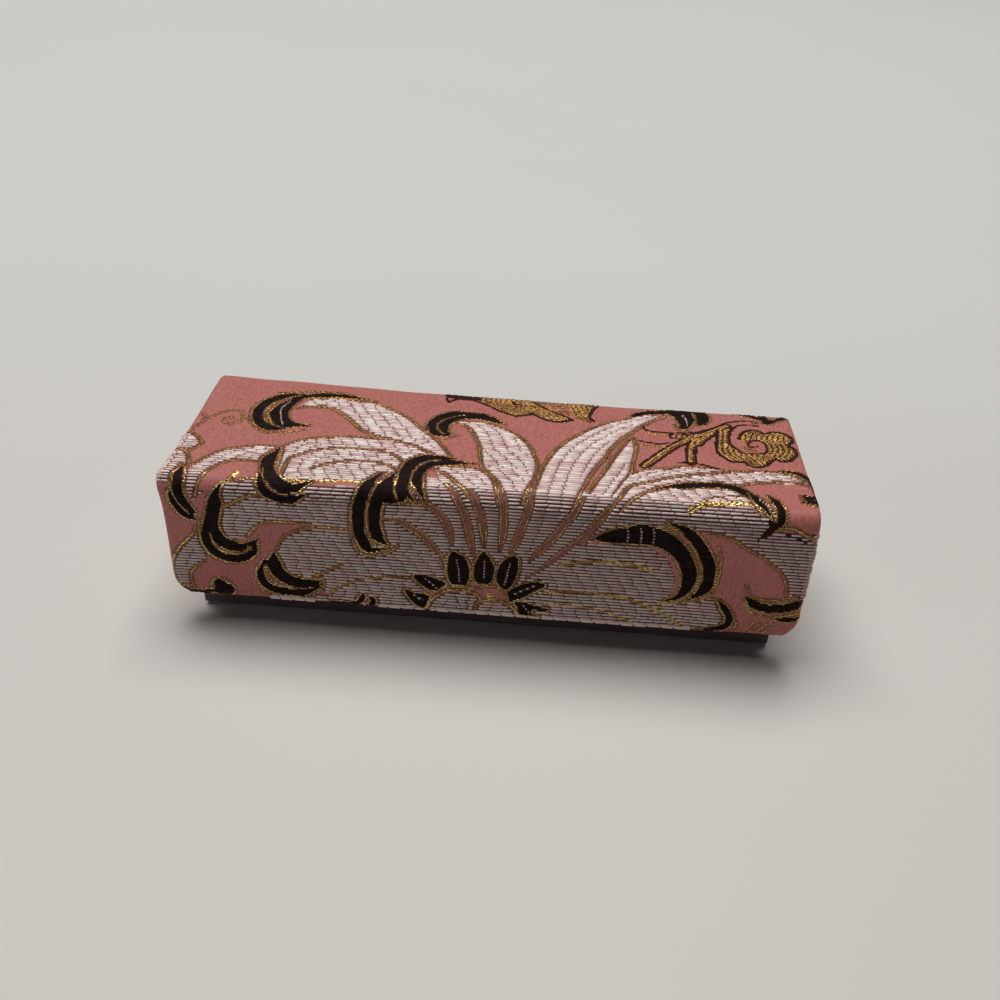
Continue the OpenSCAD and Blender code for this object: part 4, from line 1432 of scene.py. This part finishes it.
def placed(points, at, size=1.0, turn=0.0, flip=False):
    """A motif's points moved, sized, turned in degrees, and mirrored if asked."""
    p = np.array(points, float) * size
    if flip:
        p[:, 0] = -p[:, 0]
    angle = math.radians(turn)
    c, s = math.cos(angle), math.sin(angle)
    return [(at[0] + x * c - y * s, at[1] + x * s + y * c) for x, y in p]


def chrysanthemum(draft, at, size, turns, flip=False):
    """A flower head with long petals, each ended by a black claw, round a dark-leaved heart."""
    for turn in turns:
        draft.petal(*(placed(edge, at, size, turn, flip) for edge in LONG_PETAL))
        draft.crescents(*((width * size, placed(path, at, size, turn, flip)) for width, path in CLAWS))
    for turn in np.arange(0, 360, LEAF_TURN):
        dark = placed(HEART_LEAF, at, size, turn)
        draft.line(GOLD, 0.6, [*dark, dark[0]])
        draft.shape(BLACK, dark)
    ring = [(FACE * math.cos(a), FACE * math.sin(a)) for a in np.linspace(0, 2 * math.pi, 9)[:-1]]
    draft.shape(PALE, placed(ring, at, size))
    ring = placed([(INNER_FACE * x / FACE, INNER_FACE * y / FACE) for x, y in ring], at, size)
    draft.line(GOLD, 0.35, [*ring, ring[0]])
    draft.line(GOLD, 1.0, [at, (at[0] + EYE, at[1])])


def scroll(draft, at, size, turn, flip=False):
    """A gilt spiral with a dark outline, on a forked stem."""
    for width, yarn in ((1.75, MAROON), (1.15, GOLD)):
        for path in SPIRAL_AND_STEMS:
            draft.line(yarn, width * size, placed(path, at, size, turn, flip))


def gilt_leaf(draft, at, size, turn):
    """A gilt leaf with a dark outline and a dark rib."""
    outline = placed(LEAF, at, size, turn)
    draft.shape(GOLD, outline)
    draft.line(MAROON, 0.4, [*outline, outline[0]])
    draft.line(MAROON, 0.3, placed([(1.2, 0.4), (5.4, 1.2), (9.6, 1.2)], at, size, turn))


CLOTH_T = 0.4
CLOTH_EDGE = 0.19
CUT_CORNERS = (0.2, 0.2)
FOOT_RADIUS = 0.7
UNDERSIDE = 0.22
band_lo, band_hi = box_of("hinge_brocade")
tray_half = band_hi[0]
tray_top = box_of("back_brocade")[1][2]
tray_front = box_of("front_satin")[0][1] + 0.45
tray_section = Section(
    [(BACK_Y, tray_top), (BACK_Y, UNDERSIDE), (tray_front, UNDERSIDE)], [FOOT_RADIUS], outward=1
)
tray_panel = Panel(tray_section, tray_half, CLOTH_T, CLOTH_EDGE, CUT_CORNERS, waver=WAVER)
tray_draft = Draft(-45, -1, 45, tray_section.length + 1)
chrysanthemum(tray_draft, (-20, 11), 0.8, (-150, -105, -60, -25, 20, 60, 105, 150))
chrysanthemum(tray_draft, (23, 30), 0.95, (-160, -120, -80, -45, -10, 30, 75, 120, 165), flip=True)
scroll(tray_draft, (16, 6), 0.9, 10)
scroll(tray_draft, (-34, 38), 1.0, 150, flip=True)
gilt_leaf(tray_draft, (30, 4), 1.0, 25)
gilt_leaf(tray_draft, (-8, 36), 0.9, -160)
tray_draft.outline_dark()
tray_cloth = brocade("tray", tray_panel, tray_draft, None, "tray", "back_brocade")
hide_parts("back_brocade", "bottom_brocade")


# The cloth hinge: a band of the case's brocade outside, and a strip of satin folded inside.
# Both are glued to the back wall below and to the lid above. On the case they bend on the line between;
# here they are made at rest and attached to neither.
hinge_section = Section([(BACK_Y, band_hi[2]), (BACK_Y, band_lo[2])], [], outward=1)
hinge_panel = Panel(hinge_section, tray_half, CLOTH_T, edge=0.1, corners=(0.1, 0.1))
hinge_draft = Draft(-45, -1, 45, 6)
for at, turn in ((-30, 70), (-12, 120), (8, 60), (27, 110)):
    hinge_draft.petal(*(placed(edge, (at, -8), 0.8, turn - 90) for edge in LONG_PETAL))
hinge_cloth = brocade("hinge", hinge_panel, hinge_draft, None, None, "hinge_brocade")
for piece in hinge_cloth:
    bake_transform(piece)

STRIP_Y = (12.76, 14.3)
FOLD_LOW, FOLD_HIGH = 22.2, 22.26
strip_lo, strip_hi = box_of("hinge_lining")
strip_path = [
    (STRIP_Y[0], strip_lo[2]),
    (STRIP_Y[0], FOLD_LOW),
    (STRIP_Y[1], FOLD_LOW),
    (STRIP_Y[1], FOLD_HIGH),
    (strip_lo[1], FOLD_HIGH),
]
strip_section = Section(strip_path, [0.15, 0.02, 0.02], outward=1)
strip_panel = Panel(strip_section, strip_hi[0], thick=0.2, edge=0.06, corners=(0.1, 0.1))
hinge_satin = cover("hinge_lining_satin", strip_panel, (0.9, 0.3), None, [dark_satin])
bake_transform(hinge_satin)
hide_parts("hinge_lining")


# The cloth over the two ends of the tray: up the outside, over the rim and down inside.
# The dark satin over the front wall goes on in the same way, and its foot shows under the flap.
TURNED_DOWN_TO = 14.35
RIM_RADII = [0.5, 0.6]
FRONT_INSIDE_Y = -9.6


def end_cloth(name, side, first_turn):
    """The brocade of one end. Side is -1 for the left and 1 for the right."""
    low, high = box_of(name + "_brocade")
    inner, outer = (low[0], high[0]) if side > 0 else (high[0], low[0])
    path = [(inner, TURNED_DOWN_TO), (inner, high[2]), (outer, high[2]), (outer, low[2])]
    section = Section(path, RIM_RADII, outward=side)
    half, middle = (high[1] - low[1]) / 2, (high[1] + low[1]) / 2
    panel = Panel(section, half, CLOTH_T, CLOTH_EDGE, CUT_CORNERS, "Y", middle, WAVER)
    draft = Draft(-16, -1, 16, section.length + 1)
    chrysanthemum(draft, (4 * side, 31), 0.75, first_turn + np.arange(0, 360, 45))
    gilt_leaf(draft, (-8 * side, 14), 0.8, 40)
    draft.outline_dark()
    made = brocade(name, panel, draft, None, "tray", name + "_brocade")


end_cloth("left", -1, 10)
end_cloth("right", 1, 25)

satin_lo, satin_hi = box_of("front_satin")
front_path = [
    (FRONT_INSIDE_Y, TURNED_DOWN_TO),
    (FRONT_INSIDE_Y, satin_hi[2]),
    (satin_lo[1], satin_hi[2]),
    (satin_lo[1], satin_lo[2]),
]
front_section = Section(front_path, RIM_RADII, outward=-1)
front_panel = Panel(front_section, tray_half, CLOTH_T, CLOTH_EDGE, CUT_CORNERS, waver=WAVER)
front_cloth = cover("front_satin_cloth", front_panel, (0.9, 0.6), None, [dark_satin])
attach(front_cloth, "tray")
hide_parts("front_satin")


# The case stands on a pale table, painted a little darker and warmer near the camera than far behind as
# painted shade.
# It is a plain matt top, far wider than the picture.
table_finish = Finish("pale_table")
mottle = table_finish.noise((9.0, 9.0, 9.0), 4.0)
away = table_finish.node("SeparateXYZ", {}, {0: table_finish.place()}, 1)
near_tone = table_finish.mix(mottle, screen(216, 210, 203), screen(220, 214, 207))
far_tone = table_finish.mix(mottle, screen(224, 223, 218), screen(228, 227, 222))
table_finish.set(
    # Painted shade: the near part of the table is darker and warmer than the far part
    Base_Color=table_finish.mix((away * 4.0 + 0.4).clipped(), near_tone, far_tone),
    Roughness=0.6,
)
bpy.ops.mesh.primitive_plane_add(size=30.0, location=(0, 0, 0))
table = bpy.context.object
table.name = "table"
table.data.materials.append(table_finish.material)


# One broad soft lamp hangs above the case and a little behind it. A small cool one at the
# lower left brightens the flap, and the room gives a faint warm light from all sides.
def soft_lamp(name, at, aimed_at, size, energy, colour):
    """A rectangular lamp, its place and size in metres."""
    lamp_data = bpy.data.lights.new(name, "AREA")
    lamp_data.shape = "RECTANGLE"
    lamp_data.size, lamp_data.size_y = size
    lamp_data.energy = energy
    lamp_data.color = colour
    lamp = bpy.data.objects.new(name, lamp_data)
    lamp.location = at
    lamp.rotation_euler = (Vector(aimed_at) - lamp.location).to_track_quat("-Z", "Y").to_euler()
    bpy.context.scene.collection.objects.link(lamp)


WHITE = (1.0, 1.0, 1.0)
COOL = (0.76, 0.89, 1.0)
WARM = (1.0, 0.96, 0.93, 1.0)
ROOM_LIGHT = 0.01
ROOM_SEEN = 0.6
soft_lamp("broad_lamp", (-0.25, 0.7, 2.4), (0, 0, 0), (2.2, 1.5), 60.0, WHITE)
soft_lamp("fill_lamp", (-0.48, -0.34, 0.11), (0, 0, 0.01), (0.2, 0.2), 0.34, COOL)

world = bpy.data.worlds.new("room")
world.use_nodes = True
backdrop = world.node_tree.nodes["Background"]
backdrop.inputs["Color"].default_value = WARM
seen = world.node_tree.nodes.new("ShaderNodeLightPath")
strength = world.node_tree.nodes.new("ShaderNodeMapRange")
strength.inputs["To Min"].default_value = ROOM_LIGHT
strength.inputs["To Max"].default_value = ROOM_SEEN
world.node_tree.links.new(seen.outputs["Is Camera Ray"], strength.inputs["Value"])
world.node_tree.links.new(strength.outputs["Result"], backdrop.inputs["Strength"])
bpy.context.scene.world = world


# The camera stands before the flap, a little to the right, and looks down on the lid.
# Its place, its turn and its lens come from the case's corners in the photograph.
CAMERA_AT = (9.34, -131.89, 99.44)
LOOKS_DOWN = math.radians(32.72)
TURNED_LEFT = math.radians(3.51)
TILTED = math.radians(2.10)
camera_data = bpy.data.cameras.new("camera")
camera_data.lens = 37.45
camera_data.sensor_width = 36.0
camera_data.clip_start = 0.005
camera = bpy.data.objects.new("camera", camera_data)
aim = Euler((math.pi / 2 - LOOKS_DOWN, 0, TURNED_LEFT)).to_matrix()
camera.rotation_euler = (aim @ Euler((0, 0, TILTED)).to_matrix()).to_euler()
camera.location = Vector(CAMERA_AT) * MM
bpy.context.scene.collection.objects.link(camera)
bpy.context.scene.camera = camera
bpy.context.scene.view_settings.view_transform = "Standard"
